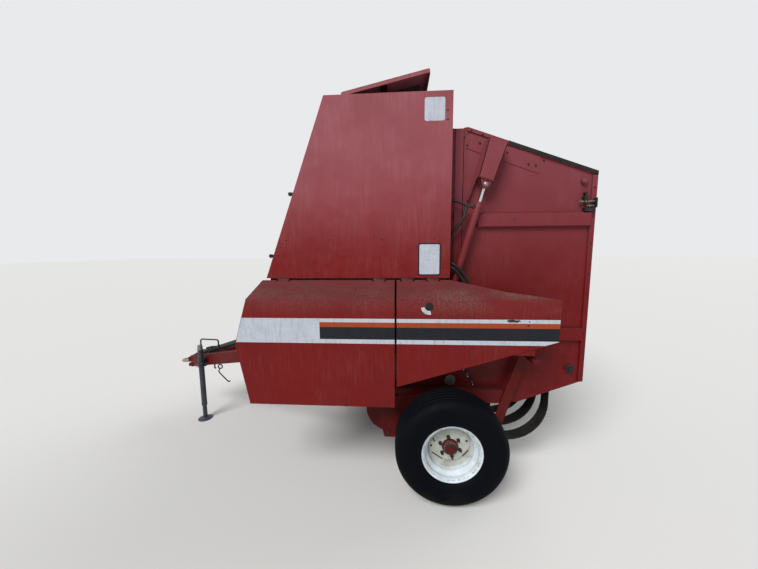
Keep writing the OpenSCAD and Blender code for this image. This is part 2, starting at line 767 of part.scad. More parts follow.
module hub(right) {
    w = rim_w / 2;
    face = w - rim_dish - 8;
    color([0.35, 0.2, 0.16]) wheel_place(right) difference() {
        union() {
            translate([0, 0, face - 14 - seat]) cylinder(r = 98, h = 14);
            translate([0, 0, face - 90]) cylinder(r = 52, h = 90);
            cylinder(r = 50, h = w - rim_dish + 34);
            translate([0, 0, w - rim_dish + 34]) cylinder(r1 = 42, r2 = 30, h = 34);
            for (a = [0:60:300]) rotate([0, 0, a]) translate([wheel_pcd / 2, 0, face - 14]) cylinder(r = 7.6, h = 40);
        }
        translate([0, 0, face - 100]) cylinder(r = spindle_r + 0.1, h = 100 - face + spindle_tip + swing);
    }
}

// Jack on the outside of the left tongue beam

beam_dir = unit([tongue_nose[0] - tongue_root[0], tongue_nose[1] - tongue_root[1]]);
beam_out = [-beam_dir[1], beam_dir[0]];         // outwards from the left beam

jack_y = -226;
// from the jack's axis to the beam's outer face
beam_far = (tongue_nose[0] - jack_x) * beam_out[0] + (tongue_nose[1] - jack_y) * beam_out[1];
swivel_len = abs(beam_far) - beam_w / 2 - seat;

module jack() {
    at_origin() color([0.25, 0.28, 0.33]) translate([jack_x, jack_y, 0]) {
        rod([0, 0, jack_pivot_z], [-beam_out[0] * swivel_len, -beam_out[1] * swivel_len, jack_pivot_z], 22);
        translate([0, 0, 150]) cylinder(d = jack_d, h = 650);
        translate([0, 0, 20]) cylinder(d = jack_d - 10, h = 140);
        cylinder(r = 70, h = 20);
        translate([0, 0, 800]) cylinder(d = jack_d + 6, h = 20);
        translate([0, 0, 818]) cylinder(r = 8, h = 52);
        translate([-8, -8, 856]) cube([210, 16, 16]);
        translate([194, 0, 790]) cylinder(r = 10, h = 74);
    }
}

// Pickup

band_from = 60;         // where a stripper band starts, and how far it goes round the reel
band_turn = 240;
rail_r = tine_tip_r + 25;
band_rails = [for (a = [band_from, band_from + band_turn]) on_circle(reel_at, rail_r, a)];
pickup_plate = concat(arc(reel_at, band_r + 12, 75, 285, 14),
                      [band_rails[1] + [-14, -22], band_rails[1] + [22, -18], band_rails[1] + [26, 20],
                       pickup_pivot + [30, -30], pickup_pivot + [30, 30], band_rails[0] + [20, 20],
                       band_rails[0] + [-18, 20]]);

module pickup_frame() {
    at_origin() color(red) {
        both_sides() difference() {
            xz_plate(pickup_plate, -pickup_y, 6);
            y_rod(pickup_pivot, 15.3, -pickup_y - 1, 8);
            y_rod(reel_at, 20.3, -pickup_y - 1, 8);
        }
        // rails that carry the stripper bands, outside the tines' circle
        for (at = band_rails) y_rod(at, 12, -pickup_y + 6, 2 * pickup_y - 12);
    }
}

// Side view of one stripper band: an arc with a flange at each end, out to the rails
band_t = 3;
band_end = rail_r - 12 - seat;
band_to = band_from + band_turn;
flange_turn = asin(band_t / band_r);
function band_flange(a, side) = on_circle(reel_at, band_end, a) + side * band_t * [-sin(a), cos(a)];
band_outline = concat([on_circle(reel_at, band_end, band_from)],
                      arc(reel_at, band_r - band_t, band_from, band_to, 24),
                      [on_circle(reel_at, band_end, band_to), band_flange(band_to, -1)],
                      arc(reel_at, band_r, band_to - flange_turn, band_from + flange_turn, 24),
                      [band_flange(band_from, 1)]);

module stripper_bands() {
    start = -(tine_n - 2) / 2 * tine_pitch;
    at_origin() color(dark_red)
        for (i = [0:tine_n - 2]) xz_plate(band_outline, start + i * tine_pitch - band_w / 2, band_w);
}

module tine_reel() {
    start = -(tine_n - 1) / 2 * tine_pitch;
    at_origin() color("dimgray") {
        y_rod(reel_at, 20, -pickup_y, 2 * pickup_y);
        for (y = [-pickup_y + 20, pickup_y - 30]) y_rod(reel_at, 130, y, 10);
        for (a = [0:90:270]) {
            c = on_circle(reel_at, 115, a);
            y_rod(c, 14, -pickup_y + 20, 2 * pickup_y - 40);
            for (i = [0:tine_n - 1])
                translate([c[0], start + i * tine_pitch, c[1]])
                    rotate([0, 90 - a, 0]) cylinder(r = 3.5, h = tine_tip_r - 115, $fn = 6);
        }
    }
}

chamber_walls();
main_frame();
tongue();
drawbar_eye();
front_panel();
upper_cover(false);  // upper_cover_left
upper_cover(true);  // upper_cover_right
top_sheets();
gearbox();
driveline();
front_belts();
front_rollers();
drive_chains();
hydraulic_hoses();
gate_walls();
gate_frame();
gate_rollers();
gate_belts();
gate_brackets();
roof_lid();
front_shield(false);  // front_shield_left
rear_shield(false);  // rear_shield_left
front_shield(true);  // front_shield_right
rear_shield(true);  // rear_shield_right
barrel(false);  // barrel_left
barrel(true);  // barrel_right
rod_piece(false);  // rod_left
rod_piece(true);  // rod_right
tyre(false);  // tyre_left
tyre(true);  // tyre_right
rim(false);  // rim_left
rim(true);  // rim_right
hub(false);  // hub_left
hub(true);  // hub_right
jack();
pickup_frame();
stripper_bands();
tine_reel();
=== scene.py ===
"""Round baler, parked on its tongue jack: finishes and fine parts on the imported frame.

Lengths in the builders of parts are millimetres, counted from the axle's line, the middle plane and
the ground, as in the CAD source. spot() turns them into the frame's metres.
"""
import math

import bpy
import bmesh
from mathutils import Matrix, Vector


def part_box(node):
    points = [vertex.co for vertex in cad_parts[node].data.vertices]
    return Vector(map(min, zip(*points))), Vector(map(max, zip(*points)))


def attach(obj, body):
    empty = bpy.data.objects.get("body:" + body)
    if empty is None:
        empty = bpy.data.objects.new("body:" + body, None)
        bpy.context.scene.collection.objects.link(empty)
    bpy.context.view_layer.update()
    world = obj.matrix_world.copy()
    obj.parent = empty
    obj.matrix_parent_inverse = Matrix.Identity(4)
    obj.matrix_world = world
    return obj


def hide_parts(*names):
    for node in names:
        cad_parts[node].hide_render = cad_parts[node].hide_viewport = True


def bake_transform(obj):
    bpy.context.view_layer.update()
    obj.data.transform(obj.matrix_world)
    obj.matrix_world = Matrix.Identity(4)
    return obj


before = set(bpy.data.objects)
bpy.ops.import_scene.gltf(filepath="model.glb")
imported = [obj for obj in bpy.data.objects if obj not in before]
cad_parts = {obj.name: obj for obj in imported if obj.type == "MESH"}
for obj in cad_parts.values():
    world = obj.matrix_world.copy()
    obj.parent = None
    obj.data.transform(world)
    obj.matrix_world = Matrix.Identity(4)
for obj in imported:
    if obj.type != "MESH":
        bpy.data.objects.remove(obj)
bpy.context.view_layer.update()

MM = 0.001
LEFT, RIGHT = -1, 1
SIDE_NAMES = {LEFT: "left", RIGHT: "right"}

tyre_low, tyre_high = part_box("tyre_left")
AXLE_X = (tyre_low.x + tyre_high.x) / 2
AXLE_Z = (tyre_low.z + tyre_high.z) / 2 / MM
WHEEL_Y = -(tyre_low.y + tyre_high.y) / 2 / MM
SHIELD_Y = -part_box("front_shield_left")[0].y / MM
COVER_Y = -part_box("upper_cover_left")[0].y / MM
WALL_Y, WALL_IN = 806, 800


def spot(x, y, z):
    """A point in the frame, from millimetres behind the axle, off the middle plane and above ground."""
    return Vector((AXLE_X + x * MM, y * MM, z * MM))


# Camera, lamps and floor

PHOTO_WIDTH_PX = 758
FOCAL_PX = 295
SENSOR_MM = 36
CAMERA_PLACE = (0.5085, -3.053, 1.7675)
CAMERA_TURN = (6.789, 3.693, -0.441)        # degrees down, to the left and rolled
SUNS = [("key", (-0.45, -0.80, 0.95), 3.3, 32), ("fill", (0.75, 0.60, 0.80), 1.1, 40)]
SKY_LIGHT = 0.34
FLOOR_REACH = 60                            # metres


def make_camera():
    """The photograph's own view, worked out from the machine's straight edges."""
    pitch, yaw, roll = (math.radians(turn) for turn in CAMERA_TURN)
    ahead = Vector((-math.sin(yaw) * math.cos(pitch), math.cos(yaw) * math.cos(pitch), -math.sin(pitch)))
    level = Vector((math.cos(yaw), math.sin(yaw), 0))
    upright = level.cross(ahead)
    right = math.cos(roll) * level + math.sin(roll) * upright
    up = math.cos(roll) * upright - math.sin(roll) * level
    data = bpy.data.cameras.new("camera")
    data.sensor_width = SENSOR_MM
    data.lens = SENSOR_MM * FOCAL_PX / PHOTO_WIDTH_PX
    data.clip_end = 400
    camera = bpy.data.objects.new("camera", data)
    turned = Matrix((right, up, -ahead)).transposed().to_4x4()
    camera.matrix_world = Matrix.Translation(CAMERA_PLACE) @ turned
    bpy.context.scene.collection.objects.link(camera)
    bpy.context.scene.camera = camera


def linear(colour):
    """An sRGB hex colour as linear red, green, blue and alpha."""
    parts = [int(colour[i:i + 2], 16) / 255 for i in (1, 3, 5)]
    return [p / 12.92 if p <= 0.04045 else ((p + 0.055) / 1.055) ** 2.4 for p in parts] + [1]


def plug(tree, node, sockets):
    """Sets inputs of a node, each to a constant or to another node's output."""
    for key, value in sockets.items():
        if isinstance(value, bpy.types.NodeSocket):
            tree.links.new(value, node.inputs[key])
        else:
            node.inputs[key].default_value = value


def add(tree, kind, sockets=(), **settings):
    """Adds a node with its own settings and its inputs."""
    made = tree.nodes.new("ShaderNode" + kind)
    for name, value in settings.items():
        setattr(made, name, value)
    plug(tree, made, dict(sockets))
    return made


def make_sun(name, towards, strength, spread):
    """A soft sun that shines from a direction, with a strength that lights a surface facing it."""
    data = bpy.data.lights.new(name, "SUN")
    data.energy = strength
    data.angle = math.radians(spread)
    lamp = bpy.data.objects.new(name, data)
    lamp.rotation_euler = Vector(towards).to_track_quat("Z", "Y").to_euler()
    bpy.context.scene.collection.objects.link(lamp)


def make_studio():
    """A pale floor, an even pale sky and two large soft suns."""
    world = bpy.data.worlds.new("studio")
    world.use_nodes = True
    tree = world.node_tree
    tree.nodes.clear()
    path = add(tree, "LightPath")
    light = add(tree, "Background", {"Color": linear("#dfe3e8"), "Strength": SKY_LIGHT})
    backdrop = add(tree, "Background", {"Color": linear("#e9eaeb"), "Strength": 1.0})
    shown = path.outputs["Is Camera Ray"]
    for ray in ("Is Glossy Ray", "Is Transmission Ray"):
        shown = add(tree, "Math", {0: shown, 1: path.outputs[ray]}, operation="MAXIMUM").outputs[0]
    both = add(tree, "MixShader", {0: shown, 1: light.outputs[0], 2: backdrop.outputs[0]})
    add(tree, "OutputWorld", {"Surface": both.outputs[0]})
    bpy.context.scene.world = world
    for sun in SUNS:
        make_sun(*sun)
    mesh = bpy.data.meshes.new("floor")
    corners = [(x * FLOOR_REACH, y * FLOOR_REACH, 0) for x, y in ((-1, -1), (1, -1), (1, 1), (-1, 1))]
    mesh.from_pydata(corners, [], [(0, 1, 2, 3)])
    floor = bpy.data.objects.new("floor", mesh)
    bpy.context.scene.collection.objects.link(floor)
    material = bpy.data.materials.new("pale_floor")
    material.use_nodes = True
    shader = material.node_tree.nodes["Principled BSDF"]
    shader.inputs["Base Color"].default_value = linear("#cdccca")
    shader.inputs["Roughness"].default_value = 0.95
    mesh.materials.append(material)


# Finishes

def start_material(name):
    """A material with its shader and the place on the object that its patterns are drawn at, in metres."""
    material = bpy.data.materials.new(name)
    material.use_nodes = True
    tree = material.node_tree
    return material, tree, tree.nodes["Principled BSDF"], add(tree, "TexCoord").outputs["Object"]


def blotches(tree, where, size, low, high, stretch=(1, 1, 1), detail=4):
    """A mask of soft blotches of a size in millimetres: 0 below the noise value low and 1 above high."""
    scaled = add(tree, "Mapping", {"Vector": where, "Scale": [1 / (size * MM * s) for s in stretch]})
    noise = add(tree, "TexNoise", {"Vector": scaled.outputs[0], "Scale": 1.0, "Detail": detail,
                                   "Roughness": 0.6})
    return add(tree, "MapRange", {"Value": noise.outputs[0], "From Min": low, "From Max": high}).outputs[0]


def ramp(tree, value, start, end):
    """A mask that rises from 0 at start to 1 at end."""
    return add(tree, "MapRange", {"Value": value, "From Min": start, "From Max": end},
               interpolation_type="SMOOTHSTEP").outputs[0]


def product(tree, *masks):
    """Where all the masks meet."""
    result = masks[0]
    for mask in masks[1:]:
        result = add(tree, "Math", {0: result, 1: mask}, operation="MULTIPLY").outputs[0]
    return result


def layered(tree, base, *layers):
    """A colour with others laid over it, each through its mask. A colour is sRGB hex or a node's output."""
    colour = linear(base) if isinstance(base, str) else base
    for mask, over in layers:
        colour = add(tree, "Mix", {"Factor": mask, 6: colour, 7: linear(over)}, data_type="RGBA").outputs[2]
    return colour


def layered_value(tree, base, *layers):
    """A number with others laid over it, each through its mask."""
    value = base
    for mask, over in layers:
        value = add(tree, "Mix", {"Factor": mask, 2: value, 3: over}, data_type="FLOAT").outputs[0]
    return value


def worn_edges(tree, radius):
    """A mask of edges and corners, radius in millimetres."""
    rounded = add(tree, "Bevel", {"Radius": radius * MM}, samples=4)
    flat = add(tree, "NewGeometry")
    alike = add(tree, "VectorMath", {0: rounded.outputs[0], 1: flat.outputs["Normal"]},
                operation="DOT_PRODUCT")
    return ramp(tree, alike.outputs["Value"], 0.985, 0.93)


def bumped(tree, shader, *reliefs):
    """Relief from several heights, each with its depth in millimetres."""
    normal = None
    for height, depth in reliefs:
        sockets = {"Height": height, "Distance": depth * MM, "Strength": 1.0}
        if normal:
            sockets["Normal"] = normal
        normal = add(tree, "Bump", sockets).outputs[0]
    tree.links.new(normal, shader.inputs["Normal"])


def set_up(tree, shader, colour, roughness, metallic=0.0, ior=1.5, specular=0.5):
    """Colour, roughness, metal and index of refraction, each a constant or a pattern.

    specular is below 0.5 where weather has opened the surface, so that less of it mirrors.
    """
    plug(tree, shader, {"Base Color": colour, "Roughness": roughness, "Metallic": metallic, "IOR": ior,
                        "Specular IOR Level": specular})


def red_enamel(name, fresh, faded_and_sky_sheen, pale_low, pale_high, rain=1.0, lichen=False, grime=0.0):
    """Implement enamel sprayed on sheet steel, paler between two heights in millimetres: partly chalked by
    the sun, partly a painted reflection of the sky on the upper panels.

    Rain has drawn it out in upright streaks, edges are chipped to rust, and dirt lies where it faces up.
    """
    material, tree, shader, where = start_material(name)
    place = add(tree, "SeparateXYZ", {"Vector": where}).outputs
    height = place["Z"]
    facing = add(tree, "SeparateXYZ", {"Vector": add(tree, "NewGeometry").outputs["Normal"]}).outputs["Z"]
    high = ramp(tree, height, pale_low * MM, pale_high * MM)
    streaks = blotches(tree, where, 24, 0.40, 0.68, stretch=(1, 1, 13), detail=6)
    fine_streaks = blotches(tree, where, 8, 0.46, 0.72, stretch=(1, 1, 20), detail=4)
    patches = blotches(tree, where, 420, 0.35, 0.7, detail=5)
    mottle = blotches(tree, where, 60, 0.3, 0.75, detail=6)
    wet = blotches(tree, where, 300, 0.42, 0.62, detail=3)
    # Paler with height: partly chalk, partly painted sky reflection on the upper panels.
    chalk_and_sky_sheen = add(tree, "Math", {0: product(tree, high, 0.78),
                               1: product(tree, high, streaks, wet, 0.3 * rain)},
                operation="ADD").outputs[0]
    up = ramp(tree, facing, 0.35, 0.95)
    clumps = blotches(tree, where, 170, 0.43, 0.62, stretch=(1.8, 1, 1), detail=5)
    specks = product(tree, up, clumps, blotches(tree, where, 6, 0.5, 0.66, detail=6), 0.5)
    edges = product(tree, worn_edges(tree, 3), blotches(tree, where, 55, 0.5, 0.6, detail=5))
    chips = blotches(tree, where, 16, 0.735, 0.75, detail=3)
    colour = layered(
        tree, fresh,
        (chalk_and_sky_sheen, faded_and_sky_sheen),
        (product(tree, patches, 0.25), "#4a0c0b"),
        (product(tree, mottle, 0.10), faded_and_sky_sheen),
        (product(tree, fine_streaks, wet, 0.16 * rain), "#a47f7c"),
        (product(tree, up, 0.55), "#401c20"),
        (product(tree, up, mottle, 0.35), "#4d2a28"),
        (specks, "#6d6259"),
    )
    if grime:
        soiled = product(tree, blotches(tree, where, 90, 0.42, 0.62, detail=6), grime)
        colour = layered(tree, colour, (soiled, "#2a100e"))
    if lichen:
        band = product(tree, ramp(tree, height, 1.30, 1.42), ramp(tree, height, 1.55, 1.46))
        rear = add(tree, "MapRange", {"Value": place["X"], "From Min": AXLE_X - 0.3,
                                      "From Max": AXLE_X + 0.3,
                                      "To Min": 0.35, "To Max": 1.0}).outputs[0]
        grains = blotches(tree, where, 7, 0.45, 0.64, detail=6)
        crust = blotches(tree, where, 150, 0.36, 0.56, stretch=(2.6, 1, 1), detail=6)
        colour = layered(tree, colour, (product(tree, band, grains, crust, rear, 0.9), "#6b655b"))
    colour = layered(tree, colour, (product(tree, edges, 0.75), "#3d1a14"), (chips, "#33120f"))
    gloss = add(tree, "MapRange", {"Value": chalk_and_sky_sheen, "To Min": 0.38, "To Max": 0.6}).outputs[0]
    rough = layered_value(tree, gloss, (product(tree, up, 0.8), 0.85), (edges, 0.8))
    set_up(tree, shader, colour, rough, specular=0.13)
    bumped(tree, shader, (blotches(tree, where, 700, 0.2, 0.8, detail=1), 2.2), (mottle, 0.12),
           (edges, -0.3))
    return material


def belt_rubber():
    """Baler belting: nitrile rubber on a woven carcass, with a rough diamond top that hay has polished."""
    material, tree, shader, where = start_material("belt_rubber")
    grid = add(tree, "Mapping", {"Vector": where, "Rotation": (0, 0, math.radians(45)),
                                 "Scale": [1 / (9 * MM)] * 3})
    diamonds = add(tree, "TexVoronoi", {"Vector": grid.outputs[0], "Scale": 1.0},
                   distance="CHEBYCHEV").outputs[0]
    scuffed = blotches(tree, where, 70, 0.4, 0.7, stretch=(1, 0.3, 3), detail=5)
    dusty = blotches(tree, where, 240, 0.45, 0.75, detail=5)
    colour = layered(tree, "#0e0f11", (product(tree, scuffed, 0.5), "#2b2a27"),
                     (product(tree, dusty, 0.35), "#443e35"))
    set_up(tree, shader, colour, layered_value(tree, 0.62, (dusty, 0.85)), ior=1.52, specular=0.3)
    bumped(tree, shader, (diamonds, 0.7), (scuffed, 0.2))
    return material


def tyre_rubber():
    """Vulcanised tyre rubber, weathered dull, with a film of dust and dry earth in its grooves."""
    material, tree, shader, where = start_material("tyre_rubber")
    film = blotches(tree, where, 120, 0.4, 0.75, detail=6)
    earth = blotches(tree, where, 22, 0.62, 0.72, detail=6)
    near_ground = ramp(tree, add(tree, "SeparateXYZ", {"Vector": where}).outputs["Z"], 0.16, 0.0)
    colour = layered(tree, "#04060b", (product(tree, film, 0.12), "#171a22"),
                     (product(tree, earth, 0.14), "#2b2824"),
                     (product(tree, near_ground, film, 0.5), "#3f3930"))
    set_up(tree, shader, colour, layered_value(tree, 0.55, (film, 0.75), (earth, 0.9)), ior=1.52,
           specular=0.05)
    bumped(tree, shader, (blotches(tree, where, 3, 0.3, 0.7, detail=2), 0.15), (earth, 0.3))
    return material


def rim_enamel(name, shade, soiled, rust_from):
    """White enamel sprayed on a pressed wheel, soiled in patches, with rust that has crept from chips."""
    material, tree, shader, where = start_material(name)
    edges = product(tree, worn_edges(tree, 4), blotches(tree, where, 24, 0.46, 0.6, detail=5))
    rust = blotches(tree, where, 22, rust_from, rust_from + 0.05, detail=8)
    grey = blotches(tree, where, 70, 0.36, 0.72, detail=7)
    colour = layered(tree, shade, (product(tree, grey, 0.75), soiled),
                     (product(tree, rust, 0.85), "#46271b"), (product(tree, edges, 0.6), "#5b3322"))
    set_up(tree, shader, colour, layered_value(tree, 0.42, (grey, 0.65), (rust, 0.9), (edges, 0.9)),
           specular=0.3)
    bumped(tree, shader, (rust, 0.4), (blotches(tree, where, 5, 0.3, 0.7), 0.08))
    return material


def rusty_iron(name, base, rust_share):
    """Cast or forged iron with thin old paint, rusted through in a share of its surface from 0 to 1."""
    material, tree, shader, where = start_material(name)
    rust = blotches(tree, where, 30, 0.62 - 0.3 * rust_share, 0.74 - 0.3 * rust_share, detail=7)
    grit = blotches(tree, where, 4, 0.3, 0.7, detail=4)
    dark = blotches(tree, where, 60, 0.45, 0.7, detail=5)
    colour = layered(tree, base, (product(tree, dark, 0.5), "#221a17"), (rust, "#5c3020"),
                     (product(tree, rust, grit, 0.6), "#7d4a2c"))
    set_up(tree, shader, colour, layered_value(tree, 0.55, (rust, 0.88)),
           metallic=layered_value(tree, 0.35, (rust, 0.0)))
    bumped(tree, shader, (grit, 0.35), (rust, 0.3))
    return material


def bright_steel(name, shade, roughness):
    """Bare steel polished by use, brushed along its length, with a breath of rust."""
    material, tree, shader, where = start_material(name)
    brushed = blotches(tree, where, 2.5, 0.3, 0.7, stretch=(8, 1, 8), detail=3)
    rust = blotches(tree, where, 18, 0.64, 0.72, detail=6)
    colour = layered(tree, shade, (product(tree, brushed, 0.25), "#6d6c6a"),
                     (product(tree, rust, 0.7), "#6a4630"))
    set_up(tree, shader, colour, layered_value(tree, roughness, (brushed, roughness + 0.12), (rust, 0.8)),
           metallic=layered_value(tree, 1.0, (rust, 0.2)))
    bumped(tree, shader, (brushed, 0.05), (rust, 0.15))
    return material


def hard_chrome():
    """Ground and chromed rod: a mirror with fine oil film."""
    material, tree, shader, where = start_material("hard_chrome")
    film = blotches(tree, where, 40, 0.4, 0.7, detail=4)
    set_up(tree, shader, layered(tree, "#d2d4d6", (product(tree, film, 0.3), "#a7a199")),
           layered_value(tree, 0.09, (film, 0.22)), metallic=1.0)
    bumped(tree, shader, (film, 0.02))
    return material


def black_plastic():
    """Blow-moulded polyethylene guard, greyed by sun and scuffed."""
    material, tree, shader, where = start_material("black_plastic")
    grey = blotches(tree, where, 50, 0.4, 0.75, detail=6)
    grain = blotches(tree, where, 2.5, 0.3, 0.7, detail=2)
    set_up(tree, shader, layered(tree, "#0d0d0f", (product(tree, grey, 0.4), "#2c2c2e")),
           layered_value(tree, 0.45, (grey, 0.65)), ior=1.51, specular=0.3)
    bumped(tree, shader, (grain, 0.1))
    return material


def hose_rubber():
    """Extruded hydraulic hose cover: black rubber with the faint print of its wrap."""
    material, tree, shader, where = start_material("hose_rubber")
    dusty = blotches(tree, where, 40, 0.45, 0.75, detail=5)
    wrap = add(tree, "TexWave", {"Vector": where, "Scale": 90.0, "Distortion": 1.5},
               bands_direction="DIAGONAL").outputs[1]
    set_up(tree, shader, layered(tree, "#0b0c0e", (product(tree, dusty, 0.3), "#37332d")),
           layered_value(tree, 0.5, (dusty, 0.8)), ior=1.52, specular=0.3)
    bumped(tree, shader, (wrap, 0.15))
    return material


def grey_jack_paint():
    """Blue-grey enamel on drawn tube, scratched and rusted at the edges."""
    material, tree, shader, where = start_material("grey_jack_paint")
    edges = product(tree, worn_edges(tree, 3), blotches(tree, where, 20, 0.4, 0.6, detail=5))
    rust = blotches(tree, where, 34, 0.6, 0.68, detail=7)
    colour = layered(tree, "#262b33", (product(tree, blotches(tree, where, 60, 0.4, 0.7, detail=5), 0.5),
                                       "#3a4149"),
                     (product(tree, rust, 0.8), "#553423"), (edges, "#583a2b"))
    set_up(tree, shader, colour, layered_value(tree, 0.45, (rust, 0.85)))
    bumped(tree, shader, (rust, 0.25), (blotches(tree, where, 4, 0.3, 0.7), 0.06))
    return material


def vinyl_stripe(name, shade, worn, soiled, crazing):
    """Printed vinyl tape, stuck on and weathered: its gloss has gone and fine cracks show the paint below."""
    material, tree, shader, where = start_material(name)
    cracks = add(tree, "TexVoronoi", {"Vector": where, "Scale": 1 / (30 * MM)},
                 feature="DISTANCE_TO_EDGE").outputs[0]
    cracked = product(tree, ramp(tree, cracks, 0.03, 0.0), blotches(tree, where, 90, 0.5, 0.62, detail=4),
                      crazing)
    dull = blotches(tree, where, 45, 0.35, 0.75, stretch=(2, 1, 1), detail=6)
    dirt = blotches(tree, where, 18, 0.5, 0.75, stretch=(1, 1, 6), detail=5)
    colour = layered(tree, shade, (product(tree, dull, 0.5), worn), (product(tree, dirt, 0.6), soiled),
                     (cracked, "#4a1c1a"))
    set_up(tree, shader, colour, layered_value(tree, 0.42, (dull, 0.6)), ior=1.53, specular=0.25)
    bumped(tree, shader, (cracked, -0.15))
    return material


def zinc_fastener():
    """Zinc-plated bolt head, dulled and rusting at the rim."""
    material, tree, shader, where = start_material("zinc_fastener")
    rust = blotches(tree, where, 9, 0.5, 0.62, detail=5)
    set_up(tree, shader, layered(tree, "#3b3532", (product(tree, rust, 0.9), "#2f1812")),
           layered_value(tree, 0.5, (rust, 0.85)), metallic=layered_value(tree, 0.7, (rust, 0.1)))
    bumped(tree, shader, (rust, 0.1))
    return material


finishes = {
    # Each red's second colour, reached with height, is partly chalk and partly painted sky reflection.
    "cover": red_enamel("cover_red", "#731413", "#95545c", 1550, 2500, rain=1.0),
    "shield": red_enamel("shield_red", "#6d1312", "#743437", 1200, 1700, rain=0.5, lichen=True),
    "gate": red_enamel("gate_red", "#650f10", "#85454d", 1300, 2500, rain=0.35),
    "frame": red_enamel("frame_red", "#5b100f", "#5f1f1f", 500, 2600, rain=0.3, grime=0.4),
    "belt": belt_rubber(),
    "tyre": tyre_rubber(),
    "rim": rim_enamel("white_rim_enamel", "#ccd6dc", "#aab0b0", 0.66),
    "disc": rim_enamel("soiled_disc_enamel", "#b4b7b0", "#8d877d", 0.63),
    "iron": rusty_iron("rusty_iron", "#3a2a26", 0.7),
    "hub": rusty_iron("hub_iron", "#4a1214", 0.0),
    "casting": rusty_iron("grey_casting", "#2f3032", 0.25),
    "black_iron": rusty_iron("black_iron", "#1b1918", 0.1),
    "steel": bright_steel("worn_steel", "#8b8986", 0.34),
    "chain": bright_steel("chain_steel", "#4d4743", 0.5),
    "chrome": hard_chrome(),
    "plastic": black_plastic(),
    "hose": hose_rubber(),
    "jack": grey_jack_paint(),
    "white_tape": vinyl_stripe("white_tape", "#b6bcc6", "#a3a8b0", "#8f8b84", 0.5),
    "orange_tape": vinyl_stripe("orange_tape", "#98390f", "#8c4426", "#6b3a26", 0.3),
    "navy_tape": vinyl_stripe("navy_tape", "#0d1019", "#151923", "#1d1b1d", 0.3),
    "zinc": zinc_fastener(),
    "worn_forging": bright_steel("worn_forging", "#a39a94", 0.45),
    # Near-black red for what is under the lid: painted shade of its underside.
    "lid_underside_shade": red_enamel("lid_underside_shade_red", "#160304", "#160304", 0, 9000, rain=0.0, grime=0.8),
}

CAD_FINISH = {
    "cover": ["upper_cover_left", "upper_cover_right", "front_panel", "top_sheets", "roof_lid"],
    "shield": ["front_shield_left", "front_shield_right", "rear_shield_left", "rear_shield_right"],
    "gate": ["gate_walls", "gate_frame", "gate_brackets", "barrel_left", "barrel_right", "chamber_walls"],
    "frame": ["main_frame", "tongue", "pickup_frame", "stripper_bands"],
    "belt": ["front_belts", "gate_belts"],
    "tyre": ["tyre_left", "tyre_right"],
    "rim": ["rim_left", "rim_right"],
    "hub": ["hub_left", "hub_right"],
    "iron": ["drawbar_eye"],
    "casting": ["gearbox"],
    "steel": ["front_rollers", "gate_rollers", "tine_reel"],
    "chain": ["drive_chains"],
    "chrome": ["rod_left", "rod_right"],
    "plastic": ["driveline"],
    "hose": ["hydraulic_hoses"],
    "jack": ["jack"],
}


KNUCKLES_FROM = 1551.5      # height from which a shield has nothing but its hinge knuckles
SMOOTH_ANGLE = 38           # degrees between faces up to which they shade as one


def ease(piece, width):
    """Rounds a piece's sharp edges by a width in millimetres."""
    bevel = piece.modifiers.new("ease", "BEVEL")
    bevel.width = width * MM
    bevel.segments = 2
    bevel.limit_method = "ANGLE"
    bevel.angle_limit = math.radians(40)
    bevel.harden_normals = True


def finish_cad_nodes():
    """Each CAD node's finish, with its sharp edges eased by the sheet's real edge radius."""
    for finish, names in CAD_FINISH.items():
        for name in names:
            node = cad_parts[name]
            node.data.materials.clear()
            node.data.materials.append(finishes[finish])
            # The hinge knuckles, red on the machine, get the near-black iron finish: painted shade of the gap
            # under the cover.
            if finish == "shield":
                node.data.materials.append(finishes["black_iron"])
                for face in node.data.polygons:
                    face.material_index = int(face.center.z > KNUCKLES_FROM * MM)
            weld = node.modifiers.new("weld", "WELD")
            weld.merge_threshold = 0.02 * MM
            ease(node, 1.0)


# Building blocks of the fine parts

def on_arc(centre, radius, angle):
    """[x, z] on a circle, with the angle in degrees up from the rear."""
    a = math.radians(angle)
    return centre[0] + radius * math.cos(a), centre[1] + radius * math.sin(a)


